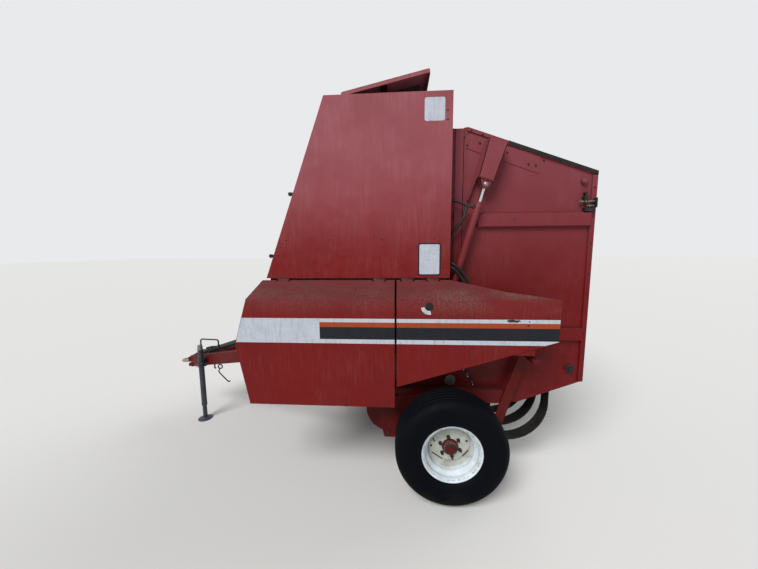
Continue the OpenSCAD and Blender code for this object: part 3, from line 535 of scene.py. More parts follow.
class Shape:
    """Closed solids gathered into one mesh. Points are millimetres, as spot() takes them."""

    def __init__(self):
        self.points, self.faces = [], []

    def loft(self, rings, closed=False):
        """A skin over rings with the same number of points, capped at both ends or closed on itself."""
        first, count, loops = len(self.points), len(rings[0]), len(rings)
        self.points += [Vector(p) for ring in rings for p in ring]
        for i in range(loops if closed else loops - 1):
            a, b = first + i * count, first + (i + 1) % loops * count
            for k in range(count):
                n = (k + 1) % count
                self.faces.append((a + k, a + n, b + n, b + k))
        if not closed:
            last = first + (loops - 1) * count
            self.faces.append(tuple(first + k for k in reversed(range(count))))
            self.faces.append(tuple(last + k for k in range(count)))
        return self

    def prism(self, outline, shift):
        """A flat outline pushed along shift."""
        return self.loft([outline, [Vector(p) + Vector(shift) for p in outline]])

    def plate(self, outline, y, thick):
        """An upright sheet along the machine: outline holds [x, z], and it fills y to y + thick."""
        return self.prism([(x, y, z) for x, z in outline], (0, thick, 0))

    def box(self, centre, size, turn=None):
        """A block about its centre, turned by a matrix where one is given."""
        x, y, z = (s / 2 for s in size)
        turn = turn or Matrix.Identity(3)
        ring = [(-x, -y), (x, -y), (x, y), (-x, y)]
        return self.loft([[Vector(centre) + turn @ Vector((a, b, c)) for a, b in ring] for c in (-z, z)])

    def turned(self, base, axis, profile, sides=24, phase=0.0):
        """A lathed solid: profile holds (distance along the axis, radius)."""
        axis = Vector(axis).normalized()
        across = axis.orthogonal().normalized()
        other = axis.cross(across)
        rings = []
        for along, radius in profile:
            centre = Vector(base) + axis * along
            angles = [phase + 2 * math.pi * k / sides for k in range(sides)]
            rings.append([centre + radius * (math.cos(a) * across + math.sin(a) * other) for a in angles])
        return self.loft(rings)

    def ring(self, base, axis, section, sides=48):
        """A lathed ring: section is a closed outline of (distance along the axis, radius)."""
        axis = Vector(axis).normalized()
        across = axis.orthogonal().normalized()
        other = axis.cross(across)
        rings = []
        for k in range(sides):
            a = 2 * math.pi * k / sides
            out = math.cos(a) * across + math.sin(a) * other
            rings.append([Vector(base) + axis * along + radius * out for along, radius in section])
        return self.loft(rings, closed=True)

    def tube(self, path, radius, sides=10):
        """A round bar or hose along a path. radius is one number or one per point."""
        path = [Vector(p) for p in path]
        radii = radius if isinstance(radius, (list, tuple)) else [radius] * len(path)
        rings, across = [], None
        for i, point in enumerate(path):
            along = (path[min(i + 1, len(path) - 1)] - path[max(i - 1, 0)]).normalized()
            if across:
                across = (across - along * across.dot(along)).normalized()
            else:
                across = along.orthogonal().normalized()
            other = along.cross(across)
            angles = [2 * math.pi * k / sides for k in range(sides)]
            rings.append([point + radii[i] * (math.cos(a) * across + math.sin(a) * other) for a in angles])
        return self.loft(rings)

    def bolt(self, at, axis, size=10):
        """A hexagon head of that thread size on its washer."""
        self.turned(at, axis, [(0, 1.05 * size), (0.16 * size, 1.05 * size)], sides=16)
        head = [(0.16 * size, 0.86 * size), (0.72 * size, 0.86 * size), (0.84 * size, 0.7 * size)]
        return self.turned(at, axis, head, sides=6, phase=at[0] % 1.0)

    def screw(self, at, axis, radius=6.5):
        """A domed sheet-metal screw."""
        dome = [(0, radius), (0.3 * radius, 0.95 * radius), (0.55 * radius, 0.6 * radius),
                (0.6 * radius, 0.15 * radius)]
        return self.turned(at, axis, dome, sides=12)

    def weld(self, start, end, steps, radius, ripple, rate):
        """A weld bead between two points, rippled along its length."""
        path = [[a + (b - a) * i / steps for a, b in zip(start, end)] for i in range(steps + 1)]
        return self.tube(path, [radius + ripple * math.sin(rate * i) for i in range(steps + 1)], sides=8)

    def made(self, name, finish):
        """Makes the piece and shades its round faces smooth."""
        mesh = bpy.data.meshes.new(name)
        mesh.from_pydata([spot(*p) for p in self.points], [], self.faces)
        skin = bmesh.new()
        skin.from_mesh(mesh)
        bmesh.ops.recalc_face_normals(skin, faces=skin.faces)
        skin.to_mesh(mesh)
        skin.free()
        mesh.shade_smooth()
        mesh.set_sharp_from_angle(angle=math.radians(SMOOTH_ANGLE))
        mesh.materials.append(finishes[finish])
        piece = bpy.data.objects.new(name, mesh)
        bpy.context.scene.collection.objects.link(piece)
        return piece

    def finish(self, name, finish, body, replaces=(), slot=None):
        """Makes the piece, lets it ride on its body and stand for CAD nodes where some are given."""
        piece = self.made(name, finish)
        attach(piece, body)
        if replaces:
            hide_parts(*replaces)
        return piece

    def bend_later(self, name, finish, fixed, moving, start, end):
        """Makes a hose and bakes it in place; nothing lets it bend from one body to another."""
        piece = self.made(name, finish)
        spot(*start)
        spot(*end)
        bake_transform(piece)


def curve_through(points, steps=8):
    """A smooth path through a few points (Catmull-Rom)."""
    p = [Vector(q) for q in points]
    p = [2 * p[0] - p[1]] + p + [2 * p[-1] - p[-2]]
    path = []
    for i in range(1, len(p) - 2):
        for k in range(steps):
            t = k / steps
            path.append(0.5 * (2 * p[i] + (p[i + 1] - p[i - 1]) * t
                               + (2 * p[i - 1] - 5 * p[i] + 4 * p[i + 1] - p[i + 2]) * t * t
                               + (3 * p[i] - p[i - 1] - 3 * p[i + 1] + p[i + 2]) * t ** 3))
    return path + [p[-2]]


# Lower shields: stripe tape, screws, latch and inner rails

STRIPE_TOP, STRIPE_BOTTOM = 1298, 1122
TOP_EDGE, LOW_EDGE, ORANGE_WIDTH, TAPE_THICK = 26, 30, 34, 0.6
BLOCK_END_X = -908
SEAM_FRONT_X, SEAM_REAR_X = -389, -375
TAIL_X = 698


def front_edge_x(z):
    """The front shield's slanted front edge, where the stripe wraps to it."""
    return -1465 - (1296 - z) * 55 / 191


def tail_edge_z(x):
    """The rear shield's rising lower edge."""
    if x < 621:
        return 812 + (x - SEAM_REAR_X) * (1121 - 812) / (621 - SEAM_REAR_X)
    return 1121 + (x - 621) * 29 / 79


def stripe_bands():
    """Finish, lower and upper edge of the coloured bands between the white edges."""
    orange_low = STRIPE_TOP - TOP_EDGE - ORANGE_WIDTH
    return [("orange_tape", orange_low, STRIPE_TOP - TOP_EDGE),
            ("navy_tape", STRIPE_BOTTOM + LOW_EDGE, orange_low)]


def tape(outline, side):
    """A stretch of tape on a shield's outer face."""
    return Shape().plate(outline, side * SHIELD_Y, side * TAPE_THICK)


def front_stripe(side):
    """White block at the front edge, then white, orange, navy and white bands back to the seam."""
    name, body = SIDE_NAMES[side], "front_shield_" + SIDE_NAMES[side]
    top, low = STRIPE_TOP, STRIPE_BOTTOM
    block = [(front_edge_x(top) + 2, top), (front_edge_x(low) + 2, low), (SEAM_FRONT_X, low),
             (SEAM_FRONT_X, low + LOW_EDGE), (BLOCK_END_X, low + LOW_EDGE), (BLOCK_END_X, top - TOP_EDGE),
             (SEAM_FRONT_X, top - TOP_EDGE), (SEAM_FRONT_X, top)]
    tape(block, side).finish("front_stripe_white_" + name, "white_tape", body)
    for finish, z0, z1 in stripe_bands():
        tape([(BLOCK_END_X, z0), (SEAM_FRONT_X, z0), (SEAM_FRONT_X, z1), (BLOCK_END_X, z1)], side).finish(
            "front_stripe_" + finish[:-5] + "_" + name, finish, body)


def rear_stripe(side):
    """The bands go on from the seam to the tail, where the lower white edge runs out on the rising edge."""
    name, body = SIDE_NAMES[side], "rear_shield_" + SIDE_NAMES[side]
    top, low = STRIPE_TOP, STRIPE_BOTTOM
    lower = [(SEAM_REAR_X, low), (610, low), (TAIL_X, tail_edge_z(TAIL_X) - 1),
             (TAIL_X, low + LOW_EDGE + 6), (610, low + LOW_EDGE), (SEAM_REAR_X, low + LOW_EDGE)]
    white = tape([(SEAM_REAR_X, top - TOP_EDGE), (TAIL_X, top - TOP_EDGE), (TAIL_X, top),
                  (SEAM_REAR_X, top)], side)
    white.plate(lower, side * SHIELD_Y, side * TAPE_THICK)
    white.finish("rear_stripe_white_" + name, "white_tape", body)
    for finish, z0, z1 in stripe_bands():
        tape([(SEAM_REAR_X, z0), (TAIL_X, z0), (TAIL_X, z1), (SEAM_REAR_X, z1)], side).finish(
            "rear_stripe_" + finish[:-5] + "_" + name, finish, body)
    torn = Shape()
    for outline in TORN_TAPE if side == LEFT else ():
        torn.plate(outline, side * (SHIELD_Y + TAPE_THICK), side * 0.2)
    if torn.faces:
        torn.finish("torn_tape", "black_iron", body, slot="red_paint")


TORN_TAPE = [[(352, 1288), (366, 1297), (392, 1298), (418, 1294), (436, 1296), (448, 1287), (430, 1284),
              (424, 1276), (396, 1282), (376, 1278)],
             [(494, 1288), (500, 1290), (506, 1284), (500, 1279)],
             [(484, 1262), (498, 1266), (506, 1256), (492, 1251)]]
FRONT_SHIELD_SCREWS = [(-716, 1360), (-715, 893), (-441, 899), (-712, 700), (-442, 707)]
REAR_SHIELD_SCREWS = [(-325, 1325), (-278, 1325), (-91, 1327), (-14, 1327), (38, 1328), (134, 1325),
                      (34, 1072), (132, 1071), (249, 1082), (-328, 863), (-281, 862)]
FRONT_SLOPE_SCREWS = [-665, -490]
REAR_SLOPE_SCREWS = [-278, -25]
SLOPE_SCREW_AT = (1022, 1493)
SHIELD_FITTINGS = [("front", FRONT_SHIELD_SCREWS, FRONT_SLOPE_SCREWS,
                    [(-1400, 900, 980), (-1400, 1360, 980)]),
                   ("rear", REAR_SHIELD_SCREWS, REAR_SLOPE_SCREWS, [(-360, 1325, 900), (-10, 1072, 560)])]
RAIL_SECTION = [(0, -22), (0, 22), (-22, 22), (-22, 18), (-4, 18), (-4, -18), (-22, -18), (-22, -22)]
LATCH = (-156, 1384)
LABEL_R = (30, 56)


def shield_hardware(side):
    """Screws of the inner rails, the rails themselves and the turn latch with its blank half-round label."""
    out = (0, side, 0)
    slope_out = (0, side * 120, 130)
    for end, screws, slope, rails in SHIELD_FITTINGS:
        body = end + "_shield_" + SIDE_NAMES[side]
        heads, channel = Shape(), Shape()
        for x, z in screws:
            heads.screw((x, side * SHIELD_Y, z), out)
        for x in slope:
            heads.screw((x, side * (SLOPE_SCREW_AT[0] + 1), SLOPE_SCREW_AT[1] + 1), slope_out)
        for x, z, length in rails:
            inner = side * (SHIELD_Y - 5)
            channel.loft([[(x + along, inner + side * y, z + up) for y, up in RAIL_SECTION]
                          for along in (0, length)])
        heads.finish(end + "_shield_screws_" + SIDE_NAMES[side], "zinc", body)
        channel.finish(end + "_shield_rails_" + SIDE_NAMES[side], "shield", body)
    x, z = LATCH
    latch = Shape().ring((x, side * SHIELD_Y, z), out, [(0, 27), (3.5, 26), (4, 22), (-2, 20), (-2, 27)],
                         sides=32)
    latch.turned((x, side * (SHIELD_Y + 0.3), z), out, [(0, 21), (0.6, 21)], sides=32)
    latch.box((x, side * (SHIELD_Y + 4), z), (12, 7, 34), Matrix.Rotation(0.5, 3, "Y"))
    latch.finish("rear_shield_latch_" + SIDE_NAMES[side], "black_iron", "rear_shield_" + SIDE_NAMES[side])
    inner, outer = LABEL_R
    arc = [on_arc(LATCH, r, a) for r, turn in ((outer, 1), (inner, -1)) for a in range(188, 292, 8)[::turn]]
    tape(arc, side).finish("latch_label_" + SIDE_NAMES[side], "white_tape",
                           "rear_shield_" + SIDE_NAMES[side])


# Upper covers: blank plates, screws and the front panel's latches

COVER_SCREWS = [(-36, 2682), (-35, 2624), (-1171, 1839), (-1214, 1790), (-1238, 1732), (-850, 1840),
                (-482, 1840), (-114, 1841), (-35, 1640), (-34, 1592)]
COVER_LATCHES = [(-1134, 2161), (-1295, 1725)]
UPPER_PLATE, LOWER_PLATE = (-188, -53, 2617, 2765, 14), (-215, -75, 1590, 1800, 10)
PLATE_BORDER = (-225, -65, 1581, 1809, 16)
COVER_HEM = [(-1331, 1563), (-1328, 1571.2), (-1, 1571.2), (-1, 1563)]
# Outline of the black strip that stands as painted shade in the gap below the cover.
COVER_GAP_SHADE = [(-1310, 1541), (-20, 1541), (-20, 1575), (-1306, 1575)]


def rounded(x0, x1, z0, z1, radius):
    """A rectangle with round corners, as [x, z]."""
    corners = [(x1 - radius, z1 - radius, 0), (x0 + radius, z1 - radius, 90),
               (x0 + radius, z0 + radius, 180), (x1 - radius, z0 + radius, 270)]
    return [on_arc((cx, cz), radius, a + t) for cx, cz, a in corners for t in range(0, 91, 18)]


def cover_trim(side):
    """Two blank plates, the screws, and rubber latches that pull the front panel to the cover."""
    name = SIDE_NAMES[side]
    plates = Shape().plate(rounded(*UPPER_PLATE), side * COVER_Y, side * 0.7)
    plates.plate(rounded(*LOWER_PLATE), side * (COVER_Y + 0.8), side * 0.4)
    plates.finish("blank_plates_" + name, "white_tape", "frame")
    border = Shape().plate(rounded(*PLATE_BORDER), side * COVER_Y, side * 0.8)
    border.finish("plate_border_" + name, "navy_tape", "frame", slot="grey_paint")
    heads = Shape()
    for x, z in COVER_SCREWS:
        heads.screw((x, side * COVER_Y, z), (0, side, 0))
    heads.finish("cover_screws_" + name, "zinc", "frame")
    latches = Shape()
    for x, z in COVER_LATCHES:
        edge = -1328 + (z - 1571) * 457 / 1234
        latches.box((edge + 2, side * (COVER_Y - 8), z), (34, 12, 22))
        latches.box((edge - 12, side * (COVER_Y - 24), z), (10, 44, 20))
        latches.turned((edge - 20, side * (COVER_Y - 14), z), (0, side, 0), [(0, 14), (12, 14), (16, 9)],
                       sides=16)
    latches.finish("panel_latches_" + name, "plastic", "frame")
    hem = Shape().plate(COVER_HEM, side * (COVER_Y - 5), side * 5)
    hem.finish("cover_hem_" + name, "cover", "frame")
    # A black rubber strip inside the cover's lower edge: painted shade of the gap between cover and shields.
    shade_strip = Shape().plate(COVER_GAP_SHADE, side * 927, side * 4)
    shade_strip.finish("cover_gap_shade_" + name, "hose", "frame")


# Fixed walls and tailgate: sheets, rollers, brackets, fasteners and the belt tension adjuster

GATE_OUT = WALL_Y
HINGE = (118, 2590)
GATE_TOP = [(126, 2618), (1036, 2297)]
GATE_LOW_Z = 756
GATE_RIBS = [(210, 1921, 790, 100), (450, 1078, 550, 94)]
GATE_TIES = [(600, 2270), (830, 1560), (760, 1010)]
GATE_ROLLERS = [(232, 2486, 0), (948, 2232, 22), (933, 858, 30), (436, 665, 0)]
ROLLER_R = 60
REAR_STRIP, LIP = 36, 12
LIP_LOW, LIP_HIGH = -22, 5
# Where the black strip, painted shade of the roof's overhang, starts.
SHADE_STRIP_FROM = 412
DOUBLER = [(118, 2484), (231, 2439), (376, 2388), (628, 2297), (640, 2310), (640, 2413), (150, 2585),
           (118, 2562)]
DOUBLER_BOLTS = [(128, 2500), (215, 2513), (409, 2445), (435, 2495), (560, 2360), (610, 2350)]
LIP_BOLTS = [(152, -12), (232, -13), (689, -9), (774, -9)]
REAR_STRIP_BOLTS = [2190, 1990, 1800, 1579, 1433, 1292, 1140, 988, 830]
UPPER_ROLLER, LOWER_ROLLER = GATE_ROLLERS[1][:2], GATE_ROLLERS[2][:2]
WALL_FRONT = [(-17, 2625), (-60, 2640), (-120, 2785), (-858, 2785), (-1308, 1571), (-1290, 1250),
              (-1060, 840), (-1060, 600), (285, 600)]
HINGE_ARMS = [-1250, -440, -330, -90]
HINGE_RAILS = [(-1300, 900), (-362, 350)]
HINGE_PINS = [-1200, -500, -300, -120]
HINGE_AXIS = (954, 1554)


def roof_edge_z(x):
    """Height of the tailgate's roof line, which falls to the rear."""
    (x0, z0), (x1, z1) = GATE_TOP
    return z0 + (x - x0) * (z1 - z0) / (x1 - x0)


def make_chamber_walls():
    """Fixed walls with rear posts, rails and pins of the shields' hinges, and the cylinders' lower pins."""
    walls, pins = Shape(), Shape()
    outline = [(100, 900)] + [on_arc(HINGE, 46, a) for a in range(246, 149, -8)] + WALL_FRONT
    for side in (LEFT, RIGHT):
        out = (0, side, 0)

        def block(x, y, z, size):
            """A box from its lowest corner, outwards from a wall."""
            walls.box((x + size[0] / 2, side * (y + size[1] / 2), z + size[2] / 2), size)

        walls.plate(outline, side * WALL_IN, side * (WALL_Y - WALL_IN))
        block(43, WALL_Y, 900, (57, 14, 1712))
        for x in HINGE_ARMS:
            block(x, WALL_Y, 1500, (40, 138, 40))
        for x, length in HINGE_RAILS:
            block(x, 922, 1500, (length, 24, 40))
        for x in HINGE_PINS:
            y, z = HINGE_AXIS
            pins.turned((x - 46, side * y, z), (1, 0, 0), [(0, 4), (92, 4)], sides=12)
            # The hinge ears, red on the machine, take the pins' near-black iron finish: painted shade of the
            # gap under the cover.
            for e in (-43, 43):
                pins.box((x + e, side * (y - 6), z - 6), (6, 24, 20))
        walls.turned((HINGE[0], side * 790, HINGE[1]), out, [(0, 16), (17, 16)], sides=32)
        base = (CYL_BASE[0], side * WALL_Y, CYL_BASE[1])
        walls.turned(base, out, [(0, 34), (30, 34)], sides=36)
        pins.turned(base, out, [(0, 18), (106, 18), (106, 28), (114, 28)], sides=32)
    ease(walls.finish("fixed_walls", "gate", "frame", ["chamber_walls"]), 1.0)
    pins.finish("wall_pins_and_shaded_ears", "black_iron", "frame")


def make_gate_frame():
    """Side walls with hinge eyes, pressed ribs, rear strip, roof sheet with turned edges, cross tubes."""
    (x0, z0), (x1, z1) = GATE_TOP
    gate = Shape()
    wall = ([(115, 900)] + [on_arc(HINGE, 17, a) for a in range(-100, 81, 20)]
            + [(x0, z0), (x1, z1), (x1, GATE_LOW_Z), (562, 575), (300, 575), (300, 605)])

    def along_roof(low, high):
        """Outline of a strip that follows the roof line."""
        return [(x, roof_edge_z(x) + up) for x, up in ((x0, low), (x1, low), (x1, high), (x0, high))]

    gate.plate(along_roof(0.3, LIP_HIGH), -GATE_OUT, 2 * GATE_OUT)
    for side in (LEFT, RIGHT):
        gate.plate(wall, side * WALL_IN, side * (GATE_OUT - WALL_IN))
        gate.ring((HINGE[0], side * (WALL_IN - 0.4), HINGE[1]), (0, side, 0),
                  [(0, 16.2), (0, 34), (6.8, 34), (6.8, 16.2)])
        gate.plate([(106, 910), (121, 910), (121, 2550), (106, 2550)], side * (GATE_OUT + 0.3), side * 4)
        gate.plate(along_roof(LIP_LOW, LIP_HIGH), side * GATE_OUT, side * LIP)
        strip = [(x1 - REAR_STRIP, GATE_LOW_Z), (x1, GATE_LOW_Z), (x1, z1 + LIP_LOW),
                 (x1 - REAR_STRIP, z1 + LIP_LOW)]
        gate.plate(strip, side * GATE_OUT, side * LIP)
        for x, z, length, high in GATE_RIBS:
            section = [(0, 0), (22, 0), (30, 6), (30, high - 6), (22, high), (0, high)]
            gate.loft([[(x + along, side * (GATE_OUT + y), z + up) for y, up in section]
                       for along in (0, length)])
    for x, z in GATE_TIES:
        gate.box((x, 0, z), (80, 2 * WALL_IN, 80))
    ease(gate.finish("gate_sheets", "gate", "tailgate", ["gate_frame", "gate_walls"]), 1.5)


def make_gate_rollers():
    """Steel rollers between the tailgate's walls, recessed at their ends, two with bearings outside."""
    rollers = Shape()
    for x, z, bearing in GATE_ROLLERS:
        rollers.turned((x, -780, z), (0, 1, 0), [(0, 40), (8, 40), (8, ROLLER_R - 6), (0, ROLLER_R - 5),
                                                 (0, ROLLER_R), (1560, ROLLER_R), (1560, ROLLER_R - 5),
                                                 (1552, ROLLER_R - 6), (1552, 40), (1560, 40)], sides=48)
        rollers.turned((x, -WALL_IN, z), (0, 1, 0), [(0, 20), (2 * WALL_IN, 20)], sides=28)
        for side in (LEFT, RIGHT):
            if bearing:
                rollers.turned((x, side * GATE_OUT, z), (0, side, 0), [(0, bearing), (14, bearing)],
                               sides=32)
    rollers.finish("belt_rollers", "steel", "tailgate", ["gate_rollers"])


def gate_trim(side):
    """Doubler plate, a black strip on the roof's turned edge as painted shade of its overhang, bolts, roller
    ends and the belt tension adjuster.
    """
    name = SIDE_NAMES[side]
    out = (0, side, 0)
    Shape().plate(DOUBLER, side * GATE_OUT, side * 4).finish("gate_doubler_" + name, "gate", "tailgate")
    # Black strip over the lip's outer face: painted shade under the overhanging roof edge.
    shade_strip = [(x, roof_edge_z(x) + up) for x, up in
            ((SHADE_STRIP_FROM, LIP_LOW + 2), (1035, LIP_LOW + 2), (1035, LIP_HIGH), (SHADE_STRIP_FROM, LIP_HIGH))]
    strip = Shape().plate(shade_strip, side * (GATE_OUT + LIP), side * 3)
    strip.finish("gate_edge_shade_" + name, "hose", "tailgate")
    heads = Shape()
    for x, z in DOUBLER_BOLTS:
        heads.bolt((x, side * (GATE_OUT + 4), z), out, 8)
    heads.bolt((665, side * GATE_OUT, 2386), out, 8)
    for x, up in LIP_BOLTS:
        heads.bolt((x, side * (GATE_OUT + LIP + (3 if x > SHADE_STRIP_FROM else 0)), roof_edge_z(x) + up), out, 7)
    for z in REAR_STRIP_BOLTS:
        heads.bolt((1018, side * (GATE_OUT + LIP), z), out, 6)
    heads.screw((470, side * (GATE_OUT + 30), 1980), out, 6)
    heads.finish("gate_bolts_" + name, "zinc", "tailgate")
    dome = Shape().turned((UPPER_ROLLER[0], side * (GATE_OUT + 13), UPPER_ROLLER[1]), out,
                          [(0, 21), (6, 20), (12, 16), (16, 9), (17, 3)])
    dome.finish("upper_roller_end_" + name, "gate", "tailgate")
    disc = Shape().turned((LOWER_ROLLER[0], side * (GATE_OUT + 13), LOWER_ROLLER[1]), out,
                          [(0, 31), (3, 31), (5, 27), (6, 15), (14, 14), (16, 8)])
    for a in range(30, 390, 120):
        x, z = on_arc(LOWER_ROLLER, 21, a)
        disc.bolt((x, side * (GATE_OUT + 18), z), out, 5)
    disc.finish("lower_roller_end_" + name, "black_iron", "tailgate")
    adjuster = Shape()
    adjuster.box((984, side * (GATE_OUT + 18), 2036), (70, 36, 26))
    adjuster.box((955, side * (GATE_OUT + 16), 2112), (26, 32, 40))
    adjuster.box((1020, side * (GATE_OUT + 22), 2082), (10, 44, 66))
    adjuster.turned((956, side * GATE_OUT, 2149), out, [(0, 10), (22, 10), (26, 7)], sides=12)
    adjuster.finish("tension_adjuster_" + name, "black_iron", "tailgate")
    rods = Shape()
    for x0, x1, z in ((907, 1030, 2093), (962, 1034, 2063)):
        rods.tube([(x0, side * (GATE_OUT + 24), z), (x1, side * (GATE_OUT + 24), z)], 6)
        for x in (x0 + 14, x0 + 42, x1 - 20):
            rods.turned((x, side * (GATE_OUT + 24), z), (1, 0, 0), [(0, 11), (8, 11)], sides=6)
    rods.finish("tension_rods_" + name, "steel", "tailgate")


BRACKET_FRONT, BRACKET_BACK = [(251, 2518), (188, 2262)], [(376, 2476), (292, 2230)]
BRACKET_OUT, BRACKET_T = 920, 7
CHEEK_GAP = 20


def make_brackets():
    """Box brackets of plate: outer face, flanges, a floor beside the rod and cheeks that hold its pin."""
    plates = Shape()
    front, back, (ex, ez) = BRACKET_FRONT, BRACKET_BACK, CYL_EYE
    for side in (LEFT, RIGHT):
        def fill(outline, y0, y1):
            """A plate between two distances outwards."""
            plates.plate(outline, side * y0, side * (y1 - y0))

        fill([front[0], back[0], back[1], front[1]], BRACKET_OUT - BRACKET_T + 1, BRACKET_OUT)
        for (xa, za), (xb, zb), t in ((front[0], front[1], BRACKET_T), (back[0], back[1], -BRACKET_T)):
            fill([(xa, za), (xa + t, za), (xb + t, zb), (xb, zb)], GATE_OUT, BRACKET_OUT)
        (xf, zf), (xb, zb) = front[1], back[1]
        for y0, y1 in ((GATE_OUT, CYL_Y - CHEEK_GAP), (CYL_Y + CHEEK_GAP, BRACKET_OUT - 2)):
            fill([(xf + 3, zf + 4), (xb - 3, zb + 4), (xb - 3, zb - 5), (xf + 3, zf - 5)], y0, y1)
        for y in (CYL_Y - CHEEK_GAP - BRACKET_T, CYL_Y + CHEEK_GAP):
            fill([(xf + 12, zf - 2), (xb - 12, zb + 2), (ex + 18, ez - 26), (ex - 18, ez - 26)], y,
                 y + BRACKET_T)
    ease(plates.finish("cylinder_brackets", "gate", "tailgate", ["gate_brackets"]), 1.0)


def bracket_trim(side):
    """Weld beads of the cylinder's box bracket, its pin, and the backing strip that runs down beside it."""
    name = SIDE_NAMES[side]
    strip = Shape()
    strip.prism([(251, side * GATE_OUT, 2518), (137, side * GATE_OUT, 2112),
                 (137, side * (GATE_OUT + 34), 2112), (188, side * (GATE_OUT + 46), 2262),
                 (251, side * (GATE_OUT + 46), 2518)], (-5, 0, 1.4))
    strip.finish("bracket_strip_" + name, "gate", "tailgate")
    bead = Shape()
    for (x0, z0), (x1, z1) in (BRACKET_FRONT, BRACKET_BACK):
        bead.weld((x0, side * GATE_OUT, z0), (x1, side * GATE_OUT, z1), 40, 5.0, 1.0, 2.4)
    bead.finish("bracket_welds_" + name, "gate", "tailgate")
    pin = Shape().turned((CYL_EYE[0], side * 840, CYL_EYE[1]), (0, side, 0),
                         [(0, 9.5), (66, 9.5), (67, 15), (74, 15), (77, 11)], sides=24)
    pin.ring((CYL_EYE[0], side * 848, CYL_EYE[1]), (0, side, 0), [(0, 9.6), (0, 20), (4, 20), (4, 9.6)],
             sides=24)
    pin.finish("rod_pins_" + name, "steel", "tailgate")


# Cylinders with their pipe, fittings and hoses

CYL_BASE, CYL_EYE, CYL_Y, BARREL_LEN = (-120, 950), (240, 2208), 880, 1185
BARREL_R, ROD_R, ROD_LEN = 24, 12, 1100


def on_cylinder(along, side, off=0.0):
    """A point on a cylinder's axis, that far from its lower pin, moved off it square to the axis."""
    dx, dz = CYL_EYE[0] - CYL_BASE[0], CYL_EYE[1] - CYL_BASE[1]
    length = math.hypot(dx, dz)
    return Vector((CYL_BASE[0] + (dx * along - dz * off) / length, side * CYL_Y,
                   CYL_BASE[1] + (dz * along + dx * off) / length))


HOSE_R, LOWER_HOSE_R = 11, 9
TEE = (118, 880, 2072)
HOSE_TOP = (104, 880, 2000)
UPPER_HOSE = [(104, 880, 2000), (86, 880, 1964), (56, 876, 1918), (22, 868, 1862), (-8, 856, 1796),
              (-26, 842, 1716), (-32, 832, 1630), (-34, 828, 1540)]
CROSS_HOSE = [(106, 880, 2078), (66, 878, 2094), (20, 872, 2108), (-30, 860, 2118), (-80, 846, 2116),
              (-130, 834, 2098), (-170, 828, 2064), (-190, 826, 2010)]
LOWER_HOSES = [[(-210, 816, 1640), (-150, 836, 1656), (-70, 884, 1676), (0, 904, 1670), (46, 925, 1648),
                (100, 925, 1590), (146, 920, 1496), (136, 880, 1350), (86, 830, 1230)],
               [(-230, 816, 1600), (-150, 840, 1624), (-70, 884, 1646), (-8, 904, 1644), (34, 925, 1622),
                (80, 925, 1570), (116, 920, 1490), (104, 880, 1356), (62, 830, 1240)]]


def mirrored(points, side):
    """Points of the left side's route, with y counted outwards, brought to a side."""
    return [(x, side * y, z) for x, y, z in points]


def make_cylinder(side):
    """Barrel with its eye, gland, ports and the tee that feeds its top end, and the rod with its eye."""
    name = SIDE_NAMES[side]
    axis = on_cylinder(1, side) - on_cylinder(0, side)
    base, bore = on_cylinder(0, side), ROD_R + 0.5
    barrel = Shape().turned(base, axis, [(30, BARREL_R), (62, BARREL_R)], sides=48)
    barrel.ring(base, axis, [(60, bore), (60, BARREL_R), (BARREL_LEN - 44, BARREL_R),
                             (BARREL_LEN - 41, BARREL_R - 3), (BARREL_LEN - 41, bore)])
    barrel.ring((CYL_BASE[0], side * (CYL_Y - 20), CYL_BASE[1]), (0, side, 0),
                [(0, 18.2), (0, 33), (1, 34), (39, 34), (40, 33), (40, 18.2)])
    barrel.finish("cylinder_barrel_" + name, "gate", "barrel_" + name, ["barrel_" + name])
    start = (on_cylinder(0, side) - Vector((CYL_EYE[0], side * CYL_Y, CYL_EYE[1]))).length - ROD_LEN
    bar = Shape().turned(on_cylinder(start, side), axis,
                         [(0, ROD_R - 1), (1, ROD_R), (ROD_LEN - 17, ROD_R)], sides=48)
    bar.finish("cylinder_rod_" + name, "chrome", "rod_" + name, ["rod_" + name])
    eye = Shape().ring((CYL_EYE[0], side * (CYL_Y - 14), CYL_EYE[1]), (0, side, 0),
                       [(0, 10), (0, 19), (1, 20), (27, 20), (28, 19), (28, 10)], sides=36)
    eye.finish("rod_eye_" + name, "black_iron", "rod_" + name)
    gland = Shape().ring(on_cylinder(BARREL_LEN - 41, side), axis,
                         [(0, bore), (0, 22), (3, 22), (5, 20.6), (34, 20.6), (38, 18), (40, 17), (45, 16),
                          (46, 14), (46, bore)])
    away = on_cylinder(70, side, 30) - on_cylinder(70, side, 22)
    gland.turned(on_cylinder(70, side, 22), away, [(0, 15), (18, 15), (20, 13)], sides=16)
    gland.finish("cylinder_gland_" + name, "gate", "barrel_" + name)
    tee = mirrored([TEE], side)[0]
    top = on_cylinder(BARREL_LEN - 38, side, 16)
    fitting = Shape().tube([top, tee], 9, sides=12)
    fitting.turned(top, Vector(tee) - top, [(0, 15), (14, 15)], sides=6)
    fitting.turned((tee[0] - 12, tee[1], tee[2]), (1, 0, 0), [(0, 13), (24, 13)], sides=6)
    down = Vector(mirrored([HOSE_TOP], side)[0]) - Vector(tee)
    long = down.length
    fitting.turned(tee, down, [(0, 9), (14, 9), (14, 14), (32, 14), (33, 11), (long, 11)], sides=6)
    fitting.turned(Vector(tee) + down * 0.62, down, [(0, 13), (long * 0.38 + 14, 12.5)], sides=16)
    fitting.finish("cylinder_fitting_" + name, "zinc", "barrel_" + name)


